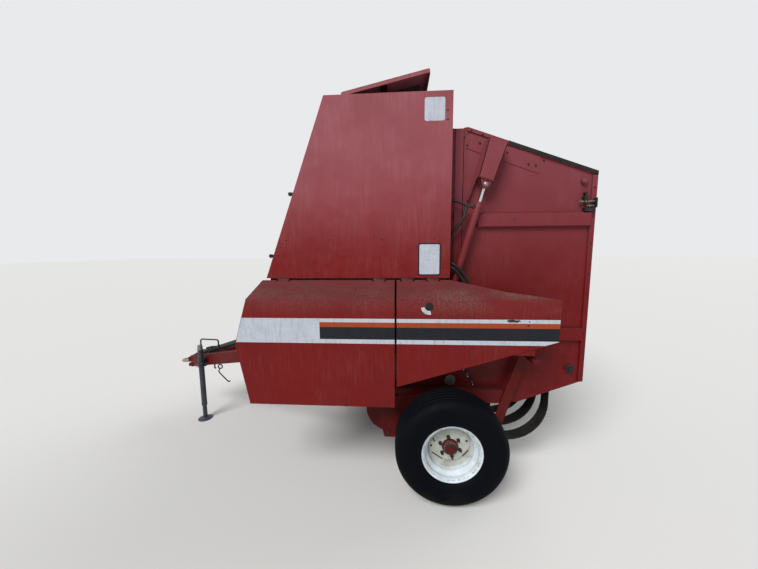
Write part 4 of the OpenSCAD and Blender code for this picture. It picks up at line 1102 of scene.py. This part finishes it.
def hydraulics():
    """Fixed pipes behind the covers, the hoses, and their crimped ends."""
    stands_for = ["hydraulic_hoses"]
    for side in (LEFT, RIGHT):
        name = SIDE_NAMES[side]
        for label, route, radius in (("upper", UPPER_HOSE, HOSE_R), ("cross", CROSS_HOSE, 8)):
            path = curve_through(mirrored(route, side), 5)
            Shape().tube(path, radius, sides=12).bend_later(
                "%s_hose_%s" % (label, name), "hose", "frame", "barrel_" + name, path[-8], path[3])
        loops, ends = Shape(), Shape()
        for route in LOWER_HOSES:
            path = curve_through(mirrored(route, side), 6)
            loops.tube(path, LOWER_HOSE_R, sides=12)
            for a, b in ((path[0], path[2]), (path[-1], path[-3])):
                ends.turned(a, b - a, [(-22, 7), (-20, 12), (-6, 12), (-6, 11), (26, 11)], sides=12)
        loops.finish("lower_hoses_" + name, "hose", "frame", stands_for)
        stands_for = []
        for route in (UPPER_HOSE, CROSS_HOSE):
            a, b = (Vector(p) for p in mirrored([route[-1], route[-2]], side))
            ends.turned(a, b - a, [(-20, 7), (-18, 13), (-4, 13), (-4, 12), (26, 12)], sides=12)
        for z in (1600, 2086):
            ends.turned((20, side * 816, z), (0, 0, 1), [(0, 12), (16, 12)], sides=6)
        ends.finish("hose_ends_" + name, "zinc", "frame")
        pipes = Shape().tube([(20, side * 816, 2102), (20, side * 816, 1598)], 8, sides=12)
        for z in (1680, 2010):
            pipes.box((20, side * 814, z), (36, 20, 16))
        pipes.finish("fixed_pipes_" + name, "frame", "frame")


# Wheels: tyre, pressed rim with its cut disc, hub and nuts

TYRE_R, RIM_LIP_R, RIM_SEAT_R, RIM_HALF, DISH = 387.5, 208, 190.5, 108, 96
BOLT_CIRCLE_R = 76.2


def tyre_outline():
    """Section of a grooved implement tyre, outer side first: (distance outwards, radius)."""
    bead = RIM_HALF - 10
    sidewall = [(RIM_HALF - 12, RIM_SEAT_R + 1), (bead + 4, RIM_LIP_R - 6), (RIM_HALF + 4, RIM_LIP_R + 4),
                (RIM_HALF + 12, RIM_LIP_R + 14), (124, 236), (130, 248), (130, 250), (133, 251),
                (133.5, 256), (136.5, 270), (138.5, 290), (139.5, 306), (139.5, 310), (137, 324),
                (134, 334), (134.5, 335.5), (130, 346), (129.5, 348), (125, 356), (119, 363), (118.5, 362),
                (112, 369), (103, 376), (94, 381), (88, 383)]
    tread = []
    for centre, width in ((70, 13), (36, 13), (0, 14), (-36, 13), (-70, 13)):
        crown = TYRE_R - (centre / 90) ** 2 * 3.5
        tread += [(centre + width / 2 + 2, crown), (centre + width / 2, crown - 2),
                  (centre + width / 4, crown - 14), (centre - width / 4, crown - 14),
                  (centre - width / 2, crown - 2), (centre - width / 2 - 2, crown)]
    other = [(-y, r) for y, r in reversed(sidewall)]
    inside = [(-bead + 40, RIM_SEAT_R + 14), (bead - 40, RIM_SEAT_R + 14)]
    return sidewall + tread + other + inside


DISC_OUTLINE = [(-7, 133), (5, 140), (22, 146), (40, 152), (60, 158), (80, 160), (100, 160), (120, 160),
                (140, 159), (158, 156), (176, 152), (190, 148), (195, 144), (250, 110), (264, 108),
                (278, 108), (292, 111), (307, 114), (312, 111)]
DISC_CUTS = [((195, 144), (250, 110)), ((312, 111), (353, 133))]
DISC_HOLES = [(179, 132, 8), (21, 121, 8), (156, 128, 7), (161, 116, 6), (281, 98, 7)]


def make_wheel(side):
    """Tyre, rim with its cut disc, hub and nuts of one wheel."""
    name = SIDE_NAMES[side]
    body = "wheel_" + name
    centre, out = Vector((0, side * WHEEL_Y, AXLE_Z)), Vector((0, side, 0))
    tyre = Shape().ring(centre, out, tyre_outline(), sides=160)
    tyre.finish("ribbed_tyre_" + name, "tyre", body, ["tyre_" + name])

    w, s, lip = RIM_HALF, RIM_SEAT_R, RIM_LIP_R
    face = w - DISH
    rim = Shape()
    rim.ring(centre, out, [(w - 1, lip - 3), (w - 3, lip), (w - 8, lip - 2), (w - 9, s - 0.5),
                           (w - 36, s - 1), (w - 50, s - 16), (w - 62, s - 25), (-w + 62, s - 25),
                           (-w + 42, s - 1), (-w + 9, s - 0.5), (-w + 6, lip - 2), (-w, lip), (-w, lip - 6),
                           (-w + 5, s - 6), (-w + 40, s - 7), (-w + 60, s - 30), (w - 64, s - 30),
                           (w - 54, s - 22), (w - 40, s - 8), (w - 16, s - 7), (w - 12, s - 2),
                           (w - 7, s + 4), (w - 3, lip - 8)], sides=128)
    rim.finish("pressed_rim_" + name, "rim", body, ["rim_" + name])

    def on_disc(angle, radius, depth):
        """A point on the disc's outer side."""
        x, z = on_arc((0, AXLE_Z), radius, angle)
        return Vector((x, centre.y, z)) + out * (face + depth)

    disc = Shape()
    disc.ring(centre, out, [(face - 18, 50), (face - 12, 50), (face - 12, 104), (face - 5, s - 28),
                            (face - 11, s - 28), (face - 18, 108)],
              sides=96)
    disc.loft([[on_disc(a, r * grow, depth) for a, r in DISC_OUTLINE]
               for depth, grow in ((-14, 1.0), (-2, 1.0), (0, 0.985), (1, 0.95), (0, 0.6))])
    disc.finish("wheel_disc_" + name, "disc", body)
    dark = Shape()
    # Dark strips along the disc's cut edges: painted shade of the gaps to the barrel.
    for (a0, r0), (a1, r1) in DISC_CUTS:
        a, b = on_disc(a0, r0, -4), on_disc(a1, r1, -4)
        along = (b - a).normalized()
        away = Vector((along.z, 0, -along.x)) * 4
        middle = (a + b) / 2 - centre
        away = away if away.dot(middle) > 0 else -away
        start, end = a.lerp(b, 0.16), a.lerp(b, 0.86)
        dark.prism([start + away * 0.3, end + away * 0.3, end + away * 1.9, start + away * 1.9], out * 2)
    # Dark discs at the disc's holes: painted shade inside the holes.
    for angle, radius, size in DISC_HOLES:
        dark.turned(on_disc(angle, radius, 0.6), out, [(0, size), (1, size)], sides=16)
    hub = Shape()
    hub.turned(centre, out, [(face - 90, 52), (face - 24, 52), (face - 22, 96), (face - 18, 96)], sides=48)
    hub.turned(centre, out, [(face - 9, 57), (face + 6, 57), (face + 16, 55), (face + 20, 51),
                             (face + 21, 47)], sides=48)
    hub.finish("wheel_hub_" + name, "hub", body, ["hub_" + name])
    ring = Shape().ring(centre, out, [(face + 20, 40), (face + 20, 48), (face + 27, 47), (face + 30, 43),
                                      (face + 30, 40)])
    ring.finish("hub_cap_ring_" + name, "iron", body)
    dark.turned(centre, out, [(face + 21, 40), (face + 33, 39), (face + 36, 34), (face + 37, 20),
                              (face + 37, 8)], sides=36)
    for k in range(6):
        at = on_disc(60 * k + 41, BOLT_CIRCLE_R - 3, 0)
        dark.turned(at, out, [(0, 14), (2, 14), (3, 12.5), (13, 12.5), (15, 10)], sides=6)
        dark.turned(at, out, [(14, 7), (19, 7), (20, 6)], sides=12)
    dark.finish("wheel_nuts_and_gap_shade_" + name, "black_iron", body)


# Tongue: jack, drawbar eye, pins and the driveline

JACK = (-2420, -226)
JACK_OFFSET = 12        # the tube stands this far behind its swivel's axis
JACK_SWIVEL_Z = 612
JACK_CRANK = [(13, 798), (14, 840), (18, 856), (34, 864), (100, 862), (180, 860), (197, 852), (202, 838),
              (202, 806)]
BEAM_OUT = Vector((0.4030, 0.9152, 0))      # level and square to the right beam


def make_jack():
    """Tube jack: outer and inner tube, dished foot, bright cap, bent crank and its swivel bracket."""
    x, y = JACK
    up = (0, 0, 1)
    tubes = Shape()
    x += JACK_OFFSET
    tubes.turned((x, y, 0), up, [(150, 25.5), (160, 25.5), (161, 27), (176, 27), (177, 25.5), (752, 25.5)],
                 sides=40)
    tubes.turned((x, y, 0), up, [(18, 20.5), (152, 20.5)], sides=36)
    tubes.turned((x, y, 0), up, [(0, 70), (3, 70), (14, 40), (20, 28), (20, 21)], sides=40)
    for z in (-34, 34):
        tubes.turned((x, y, JACK_SWIVEL_Z + z - 3), up, [(0, 34), (6, 34)], sides=36)
    tubes.turned((x - JACK_OFFSET, y, JACK_SWIVEL_Z), BEAM_OUT,
                 [(20, 22), (22, 38), (30, 38), (31, 25), (50, 25)], sides=28)
    tubes.finish("jack_tubes", "jack", "jack", ["jack"])
    cap = Shape().turned((x, y, 0), up, [(750, 26), (752, 28), (757, 28), (758, 23.5), (798, 23.5),
                                         (801, 20), (803, 9)],
                         sides=36)
    cap.finish("jack_cap", "steel", "jack")
    crank = Shape().tube(curve_through([(x + dx, y, z) for dx, z in JACK_CRANK], 6), 7, sides=12)
    crank.turned((x + 202, y, 778), up, [(0, 8), (2, 10), (32, 10), (34, 8)], sides=16)
    crank.finish("jack_crank", "black_iron", "jack")
    pin = Shape().tube([(x - 14, y - 40, JACK_SWIVEL_Z + 2), (x + 6, y + 34, JACK_SWIVEL_Z + 2)], 6)
    loop = [(x - 14 + 16 * math.sin(math.radians(a)), y - 43,
             JACK_SWIVEL_Z - 16 + 18 * math.cos(math.radians(a)))
            for a in range(0, 331, 22)]
    pin.tube(loop, 2.2, sides=8)
    pin.finish("jack_pin", "steel", "jack")


BEAM_REAR, BEAM_FRONT = (-1140, 690, 935), (-2580, 56, 571)


def tongue_point(x, side, off=0.0, up=0.0):
    """A point on a tongue beam's centre line, moved outwards and up."""
    (x0, y0, z0), (x1, y1, z1) = BEAM_REAR, BEAM_FRONT
    t = (x - x0) / (x1 - x0)
    return Vector((x, side * (y0 + (y1 - y0) * t + off), z0 + (z1 - z0) * t + up))


def along_beam(points, side, steps):
    """A smooth path along a tongue beam, through (x, outwards, up)."""
    return curve_through([tongue_point(x, side, off, up) for x, off, up in points], steps)


HANGER = [(-2250, 40, -46), (-2250, 46, -82), (-2240, 36, -96)]
HANGER_RING = (-2170, 42, -78)
HOOK = [(-2180, 42, -98), (-2192, 46, -130), (-2150, 46, -170), (-2066, 46, -236), (-2040, 46, -232)]
TONGUE_HOSES = [[(-2500, -6, 64), (-2300, -8, 68), (-2050, -10, 66), (-1750, -8, 68), (-1400, -10, 66),
                 (-1190, -8, 70)],
                [(-2500, 14, 64), (-2300, 14, 68), (-2050, 12, 66), (-1750, 14, 68), (-1400, 12, 66),
                 (-1190, 14, 70)]]
HOSE_STRAPS = [-2440, -2180, -1900, -1600, -1320]
MONITOR_CABLE = [(-1660, 30, 62), (-1740, 44, 40), (-1780, 48, -60), (-1800, 46, -110), (-1770, 46, -150),
                 (-1720, 44, -120), (-1680, 40, -62), (-1600, 40, -58)]


def tongue_hardware():
    """Bolts of nose plates and beams, the hoses with their straps, and what hangs under the left beam."""
    heads = Shape()
    for x in (-2640, -2520):
        for y in (-44, 44):
            heads.bolt((x, y, NOSE_TOP), (0, 0, 1), 14)
            heads.bolt((x, y, 506), (0, 0, -1), 14)
    for side in (LEFT, RIGHT):
        for x in (-1180, -1110):
            heads.bolt((x, side * 742, 895.5), (0, 0, 1), 12)
            heads.bolt((x, side * 640, 895.5), (0, 0, 1), 12)
    heads.finish("tongue_bolts", "iron", "frame")
    hangers = Shape()
    hangers.tube(along_beam(HANGER, LEFT, 5), 7)
    x, off, up = HANGER_RING
    loop = [math.radians(t) for t in range(0, 360, 20)]
    ring = [tongue_point(x, LEFT, off, up) + 21 * Vector((math.sin(a), 0, math.cos(a))) for a in loop]
    hangers.tube(ring + ring[:1], 6, sides=8)
    hangers.tube(along_beam(HOOK, LEFT, 6), 6)
    hangers.finish("tongue_hangers", "black_iron", "frame")
    Shape().tube(along_beam(MONITOR_CABLE, LEFT, 8), 5, sides=8).finish("monitor_cable", "plastic", "frame")
    hose_pair = Shape()
    for route in TONGUE_HOSES:
        hose_pair.tube(along_beam(route, RIGHT, 8), 8)
    hose_pair.finish("tongue_hoses", "hose", "frame")
    clips = Shape()
    for x in HOSE_STRAPS:
        clips.box(tongue_point(x, RIGHT, 3, 62), (22, 66, 14), Matrix.Rotation(0.41, 3, "Z"))
    clips.finish("hose_straps", "steel", "frame")


NOSE_TOP = 608.3
SHAFT_FRONT, SHAFT_REAR = Vector((-2540, 0, 640)), Vector((-1250, 0, 1007))


def make_driveline():
    """Telescopic drive shaft in its plastic guard, with bells, joints and the chain that stops the guard."""
    d = (SHAFT_REAR - SHAFT_FRONT).normalized()
    length = (SHAFT_REAR - SHAFT_FRONT).length
    half = length / 2
    guard = Shape()
    guard.turned(SHAFT_FRONT, d, [(150, 27), (half + 20, 27)], sides=32)
    guard.turned(SHAFT_FRONT, d, [(half, 33), (half + 4, 36), (half + 20, 36), (half + 24, 33),
                                  (length - 150, 33)],
                 sides=32)
    for base, axis, tube_r in ((SHAFT_FRONT, d, 27), (SHAFT_REAR, -d, 33)):
        fall = (42 - tube_r) / 5
        bell = [(0, 43), (12, 44), (14, 42)]
        for k in range(5):
            bell += [(18 + 14 * k, 41 - fall * k), (24 + 14 * k, 42 - fall * k),
                     (28 + 14 * k, 38 - fall * k)]
        bell += [(96, tube_r + 2), (110, tube_r + 1)]
        guard.turned(base + 105 * axis, axis, bell, sides=36)
    guard.finish("driveline_guard", "plastic", "frame", ["driveline"])
    joints = Shape()
    for base, axis in ((SHAFT_FRONT, d), (SHAFT_REAR, -d)):
        joints.turned(base, axis, [(0, 26), (3, 32), (18, 32), (20, 29), (52, 29), (54, 25), (70, 24)],
                      sides=28)
        for turn in (0, math.pi / 2):
            across = Matrix.Rotation(turn, 3, axis) @ axis.orthogonal().normalized()
            shift = 88 if turn else 78
            joints.turned(base + axis * shift + across * -42, across, [(0, 12), (84, 12)], sides=16)
            for s in (-1, 1):
                joints.box(base + axis * (shift + (22 if turn else -16)) + across * 33 * s, (50, 13, 34),
                           axis.to_track_quat("X", "Z").to_matrix())
        joints.turned(base, axis, [(104, 22), (150, 22)], sides=20)
    joints.finish("driveline_joints", "black_iron", "frame")
    chain = Shape()
    start = SHAFT_REAR - 190 * d + Vector((0, 44, 0))
    links = 14
    for k in range(links):
        t = k / links
        centre = start + Vector((-10 * t, 120 * t, -40 * t - 90 * t * (1 - t)))
        turn = Matrix.Rotation(math.pi / 2 * (k % 2), 3, "Y") @ Matrix.Rotation(0.4, 3, "X")
        loop = [centre + turn @ Vector((6 * math.cos(a), 11 * math.sin(a), 0))
                for a in [math.radians(v) for v in range(0, 360, 45)]]
        chain.tube(loop + loop[:1], 1.9, sides=6)
    chain.finish("guard_chain", "steel", "frame")


GEARBOX = (-1120, 1035)


def make_gearbox():
    """Cast gearbox on its pedestal: ribs, side covers with their bolts, input neck and filler."""
    x, z = GEARBOX
    case = Shape()
    case.turned((x, -90, z), (0, 1, 0), [(0, 48), (4, 52), (176, 52), (180, 48)], sides=36)
    for y in (-84, -30, 30, 84):
        case.box((x, y, 932), (212, 12, 212))
    case.turned((x - 98, 0, 1013), (-1, 0, -0.26), [(-10, 50), (10, 46), (12, 40), (30, 36), (32, 28)],
                sides=32)
    case.box((x, 0, 828), (236, 206, 14))
    for side in (LEFT, RIGHT):
        case.turned((x, side * 90, z), (0, side, 0), [(0, 46), (12, 44), (14, 34), (40, 30), (42, 24)],
                    sides=36)
    case.finish("gearbox_casting", "casting", "frame")
    heads = Shape()
    for side in (LEFT, RIGHT):
        for k in range(6):
            bolt_x, bolt_z = on_arc((x, z), 39, 60 * k + 30)
            heads.bolt((bolt_x, side * 102, bolt_z), (0, side, 0), 6)
        for dx in (-104, 104):
            heads.bolt((x + dx, side * 92, 835), (0, 0, 1), 9)
    heads.turned((x + 20, 40, z + 46), (0, 0, 1), [(0, 12), (14, 12), (18, 8), (26, 8), (28, 11), (32, 11)],
                 sides=12)
    heads.finish("gearbox_bolts", "zinc", "frame")


# Drive chain, bearings and belts

CHAIN_Y = 841
CHAIN_WHEELS = [(GEARBOX, 60, 15, 262, 78, 806), ((-330, 900), 90, 22, 78, -98, 820)]
CHAIN_LINKS = 82
FIXED_ROLLERS = [(-790, 2640), (-50, 2530), (-560, 960), (-950, 1240), (-330, 900)]


def spaced(path, count):
    """That many points, evenly spaced along a closed path of straight stretches."""
    path = [Vector(p) for p in path]
    ends = path[1:] + path[:1]
    lengths = [(b - a).length for a, b in zip(path, ends)]
    points = []
    for k in range(count):
        left, i = sum(lengths) * k / count, 0
        while left > lengths[i]:
            left -= lengths[i]
            i += 1
        points.append(path[i].lerp(ends[i], left / lengths[i]))
    return points


def make_chain():
    """Roller chain from the gearbox's cross shaft to the starter roller, with both sprockets."""
    route, shape = [], Shape()
    for centre, radius, teeth, start, end, wall in CHAIN_WHEELS:
        route += [on_arc(centre, radius, start + (end - start) * i / 20) for i in range(21)]
        outline = []
        for k in range(teeth):
            for share, r in ((0.0, radius - 7), (0.22, radius - 4), (0.4, radius + 6), (0.6, radius + 6),
                             (0.78, radius - 4)):
                outline.append(on_arc(centre, r, 360 * (k + share) / teeth))
        shape.plate(outline, -CHAIN_Y - 3.5, 7)
        hub = (centre[0], -CHAIN_Y - 15, centre[1])
        shape.turned(hub, (0, 1, 0), [(0, 24), (2, 26), (CHAIN_Y + 15 - wall, 26)], sides=28)
        shape.bolt((centre[0], -CHAIN_Y - 15, centre[1]), (0, -1, 0), 12)
    pins = spaced([(x, 0, z) for x, z in route], CHAIN_LINKS)
    for k, pin in enumerate(pins):
        other = pins[(k + 1) % CHAIN_LINKS]
        along = (other - pin).normalized()
        up = Vector((-along.z, 0, along.x))
        middle = (pin + other) / 2
        plate = [pin - along * 9, pin - along * 5 + up * 7, middle + up * 5, other + along * 5 + up * 7,
                 other + along * 9, other + along * 5 - up * 7, middle - up * 5, pin - along * 5 - up * 7]
        for y in ((-9, 7) if k % 2 else (-6.6, 4.6)):
            shape.plate([(p.x, p.z) for p in plate], -CHAIN_Y + y, 2)
        shape.turned((pin.x, -CHAIN_Y - 4.5, pin.z), (0, 1, 0), [(0, 6.5), (9, 6.5)], sides=10)
        shape.turned((pin.x, -CHAIN_Y - 10, pin.z), (0, 1, 0), [(0, 3.4), (20, 3.4)], sides=8)
    shape.finish("roller_chain", "chain", "frame", ["drive_chains"])


def make_bearings():
    """Flange bearings of the fixed rollers outside the chamber walls, with their bolts and grease nipples."""
    for side in (LEFT, RIGHT):
        cases, heads = Shape(), Shape()
        out = (0, side, 0)
        for x, z in FIXED_ROLLERS:
            outline = [on_arc((x, z), 44 + 22 * abs(math.cos(math.radians(a))) ** 8, a)
                       for a in range(0, 360, 12)]
            cases.plate(outline, side * WALL_Y, side * 10)
            cases.turned((x, side * (WALL_Y + 9), z), out, [(0, 41), (7, 39), (11, 31), (18, 28), (20, 22)],
                         sides=32)
            for dx in (-54, 54):
                heads.bolt((x + dx, side * (WALL_Y + 10), z), out, 9)
            heads.turned((x + 14, side * (WALL_Y + 14), z + 34), (0.2, side, 0.6),
                         [(0, 5), (8, 5), (9, 3), (13, 3)], sides=8)
        cases.finish("roller_bearings_" + SIDE_NAMES[side], "casting", "frame")
        heads.finish("bearing_bolts_" + SIDE_NAMES[side], "zinc", "frame")


BELT_PITCH = 200
REAR_RUN = [(1017, 2232), (1002, 858)]           # outer face of the belts behind the tailgate
LACING_Z = [1980, 1240, 1610, 2080, 1420, 1760, 1130, 1530]
DROOPS = [((512, 535), 315, -34), ((512, 364), 144, -128)]


def lace(shape, at, outward, y):
    """Two rows of wire hooks across a belt, where its ends are joined."""
    outward = Vector(outward).normalized()
    along = Vector((-outward.z, 0, outward.x))
    turn = Matrix((along, (0, 1, 0), outward)).transposed()
    for k in range(12):
        place = Vector((at[0], y + (k - 5.5) * 8.6, at[1]))
        shape.box(place + outward * 0.8, (32, 3.6, 2.6), turn)
    return shape


def belt_lacing():
    """Lacing of the tailgate's belts: on the rear run, and on every second belt where they hang."""
    hooks = Shape()
    (x0, z0), (x1, z1) = REAR_RUN
    for i, z in enumerate(LACING_Z):
        y = (i - 3.5) * BELT_PITCH
        lace(hooks, (x0 + (x1 - x0) * (z - z0) / (z1 - z0), z), (1, 0, -0.011), y)
        centre, radius, angle = DROOPS[i % 2]
        at = on_arc(centre, radius, angle)
        lace(hooks, at, (at[0] - centre[0], 0, at[1] - centre[1]), y)
    hooks.finish("belt_lacing", "steel", "tailgate")


# Pickup: sprung tines on four bars, spiders, and the bolts of the stripper bands

REEL = (-430, 460)
TINES, TINE_PITCH, TINE_BAR_R, PICKUP_Y = 20, 72, 115, 750


def reel_point(turn, out, across, y):
    """A point on the reel, out along the radius at an angle and across it."""
    a = math.radians(turn)
    return Vector((REEL[0] + out * math.cos(a) - across * math.sin(a), y,
                   REEL[1] + out * math.sin(a) + across * math.cos(a)))


def tine_path(turn, y, inwards):
    """Three coils round the bar, then the leg, bent back a little towards its tip."""
    path = []
    for k in range(31):
        angle = math.radians(-90 - 36 * (30 - k))
        path.append(reel_point(turn, TINE_BAR_R + 19 * math.cos(angle), 19 * math.sin(angle),
                               y + inwards * (30 - k) * 0.65))
    return path + [reel_point(turn, out, across, y) for out, across in ((172, -20), (214, -16), (246, -8))]


def make_reel():
    """Shaft, spiders and bars of the reel, its sprung tines, and the bolts of the stripper bands."""
    reel, tines, heads = Shape(), Shape(), Shape()
    reel.tube([(REEL[0], -PICKUP_Y, REEL[1]), (REEL[0], PICKUP_Y, REEL[1])], 20, sides=28)
    for y in (-PICKUP_Y + 20, -250, 240, PICKUP_Y - 30):
        arms = [on_arc(REEL, 42 + 90 * abs(math.cos(math.radians(2 * a))) ** 3, a)
                for a in range(0, 360, 6)]
        reel.plate(arms, y, 10)
        reel.turned((REEL[0], y - 8, REEL[1]), (0, 1, 0), [(0, 34), (26, 34)], sides=28)
    for turn in (0, 90, 180, 270):
        ends = [reel_point(turn, TINE_BAR_R, 0, y) for y in (-PICKUP_Y + 20, PICKUP_Y - 20)]
        reel.tube(ends, 14, sides=20)
        for i in range(TINES):
            y = (i - (TINES - 1) / 2) * TINE_PITCH
            inwards = 1 if i % 2 == 0 else -1
            tines.tube(tine_path(turn, y, inwards), 3, sides=6)
            if i % 2 == 0:
                middle = y + TINE_PITCH / 2
                tines.tube([reel_point(turn, TINE_BAR_R - 19, 0, middle + s) for s in (-18, 18)], 3,
                           sides=6)
                heads.bolt(reel_point(turn, TINE_BAR_R - 14, 0, middle),
                           -reel_point(turn, 1, 0, 0) + reel_point(turn, 0, 0, 0), 8)
    reel.finish("reel_spiders", "frame", "reel", ["tine_reel"])
    tines.finish("spring_tines", "steel", "reel")
    heads.finish("tine_bolts", "zinc", "reel")
    bolts = Shape()
    for i in range(TINES - 1):
        y = (i - (TINES - 2) / 2) * TINE_PITCH
        for angle, way in ((60, 1), (300, -1)):
            across = Vector((-math.sin(math.radians(angle)), 0, math.cos(math.radians(angle)))) * way
            x, z = on_arc(REEL, 236, angle)
            bolts.bolt(Vector((x, y, z)) + across * 3, across, 6)
    bolts.finish("band_bolts", "zinc", "pickup")


# Frame: drawbar eye, bolts of the axle plates, weld beads

CHAMFERED = [(-1, -0.8), (-0.93, -1), (0.93, -1), (1, -0.8), (1, 0.8), (0.93, 1), (-0.93, 1), (-1, 0.8)]


def make_drawbar_eye():
    """Forged eye, worn bright round its hole, with a shank between the nose plates."""
    centre, half = (-2756, 0, 550), 13
    eye = Shape()
    eye.ring((centre[0] + 12, 0, 550), (0, 0, 1),
             [(-half, 19), (-half + 2, 16.5), (half - 2, 16.5), (half, 19), (half, 32), (half - 3, 37),
              (3, 38), (-3, 38), (-half + 3, 37), (-half, 32)], sides=48)
    ring_end, back = -2744 + 20, -2602
    sections = [(ring_end, 30), (ring_end + 20, 33), (ring_end + 45, 37), (back, 38)]
    for (x0, w0), (x1, w1) in zip(sections, sections[1:]):
        eye.loft([[(x, y * w, 550 + z * half) for y, z in CHAMFERED] for x, w in ((x0, w0), (x1, w1))])
    eye.finish("forged_eye", "worn_forging", "frame", ["drawbar_eye"])


AXLE_PLATE_Y = 884
AXLE_PLATE_WELDS = [((-545, 641), (200, 641)), ((372, 456), (425, 470))]
AXLE_PLATE_BOLTS = [(x, 612) for x in (-500, -420, 90, 170)] + [(x, 340) for x in (-440, -360, 20, 100)]


def frame_hardware():
    """Bolts of the axle plates, caps in the rails' ends, and weld beads."""
    heads, beads = Shape(), Shape()
    for side in (LEFT, RIGHT):
        out = (0, side, 0)
        for x, z in AXLE_PLATE_BOLTS:
            heads.bolt((x, side * AXLE_PLATE_Y, z), out, 14)
        for (x0, z0), (x1, z1) in AXLE_PLATE_WELDS:
            y = side * (AXLE_PLATE_Y - 8)
            beads.weld((x0, y, z0), (x1, y, z1), 60, 5, 1.2, 2.2)
        for x in (-1184, 430):
            beads.box((x, side * 842, 647.5), (6, 52, 96))
        for x in (-1140, -1180):
            for y in (610, 770):
                beads.weld((x, side * y, 820), (x, side * y, 895), 12, 4, 1, 2.2)
    heads.finish("frame_bolts", "zinc", "frame")
    beads.finish("frame_welds", "frame", "frame")


# Front panel and roof lid

PANEL_FOOT, PANEL_TOP = Vector((-1328, 0, 1571)), Vector((-871, 0, 2805))


def on_panel(along, y, out):
    """A point that far up the sloping front panel, off the middle plane and out from its face."""
    up = (PANEL_TOP - PANEL_FOOT).normalized()
    return PANEL_FOOT + up * along + Vector((-up.z, 0, up.x)) * out + Vector((0, y, 0))


def make_front_panel():
    """Pressed ribs, the twine door with its hinges and turn latches, and the screws round the edge."""
    panel, heads, latches = Shape(), Shape(), Shape()
    face = on_panel(0, 0, 1) - on_panel(0, 0, 0)
    for along in (140, 1130):
        for y0, y1 in ((-860, -40), (40, 860)):
            section = [(-26, -1), (-12, 7), (12, 7), (26, -1)]
            panel.loft([[on_panel(along + a * s, y, max(out * s, -1)) for a, out in section]
                        for y, s in ((y0, 0.1), (y0 + 30, 1), (y1 - 30, 1), (y1, 0.1))])
    door = rounded(-460, 460, 300, 980, 28)
    panel.loft([[on_panel(a, y, out) for y, a in door] for out in (-1, 4)])
    panel.loft([[on_panel(640 + (a - 640) * 0.93, y * 0.95, out) for y, a in door] for out in (4, 7)])
    for y in (-300, 300):
        latches.turned(on_panel(982, y, 0), on_panel(0, 1, 0) - on_panel(0, 0, 0), [(0, 9), (90, 9)],
                       sides=14)
        latches.turned(on_panel(330, y, 4), face, [(0, 24), (6, 24), (8, 18)], sides=24)
        latches.box(on_panel(330, y, 16), (12, 56, 12), Matrix.Rotation(0.36, 3, "Y"))
    for y in (-920, 920):
        for along in range(80, 1300, 170):
            heads.screw(on_panel(along, y, 0), face, 6)
    for along in (24, 1290):
        for y in range(-800, 801, 200):
            heads.screw(on_panel(along, y, 0), face, 6)
    panel.finish("front_panel_door", "cover", "frame")
    heads.finish("front_panel_screws", "zinc", "frame")
    latches.finish("front_panel_latches", "black_iron", "frame")


LID_HINGE, LID_LENGTH, LID_ANGLE = (-756, 2813), 612, 12


def under_lid(along, y, down):
    """A point on the open lid, from its hinge along it and down from its lower face."""
    a = math.radians(LID_ANGLE)
    return (LID_HINGE[0] + along * math.cos(a) + down * math.sin(a), y,
            LID_HINGE[1] + along * math.sin(a) - down * math.cos(a))


def make_lid():
    """Stiffening channels under the lid, in near-black red as painted shade of its underside, and its turned
    side edges.
    """
    ribs = Shape()
    for y in (-760, -260, 260, 760):
        section = [(-30, 0), (-22, 20), (22, 20), (30, 0)]
        ribs.loft([[under_lid(along, y + off, down) for off, down in section] for along in (60, 560)])
    section = [(-24, 0), (-18, 16), (18, 16), (24, 0)]
    ribs.loft([[under_lid(300 + off, y, down) for off, down in section] for y in (-900, 900)])
    ribs.finish("lid_ribs", "lid_underside_shade", "roof_lid")
    edge = Shape()
    half = -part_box("roof_lid")[0].y / MM
    for side in (LEFT, RIGHT):
        edge.loft([[under_lid(along, side * y, down)
                    for y, down in ((half - 3, 0), (half, 0), (half, 20), (half - 3, 20))]
                   for along in (6, LID_LENGTH)])
    edge.finish("lid_edge", "cover", "roof_lid")


make_camera()
make_studio()
bpy.context.scene.view_settings.view_transform = "Standard"
finish_cad_nodes()
for side in (LEFT, RIGHT):
    for make in (front_stripe, rear_stripe, shield_hardware, cover_trim, gate_trim, bracket_trim,
                 make_cylinder, make_wheel):
        make(side)
for make in (make_chamber_walls, make_gate_frame, make_gate_rollers, make_brackets, hydraulics, make_jack,
             tongue_hardware, make_driveline, make_gearbox, make_chain, make_bearings, belt_lacing,
             make_reel, make_drawbar_eye, frame_hardware, make_front_panel, make_lid):
    make()
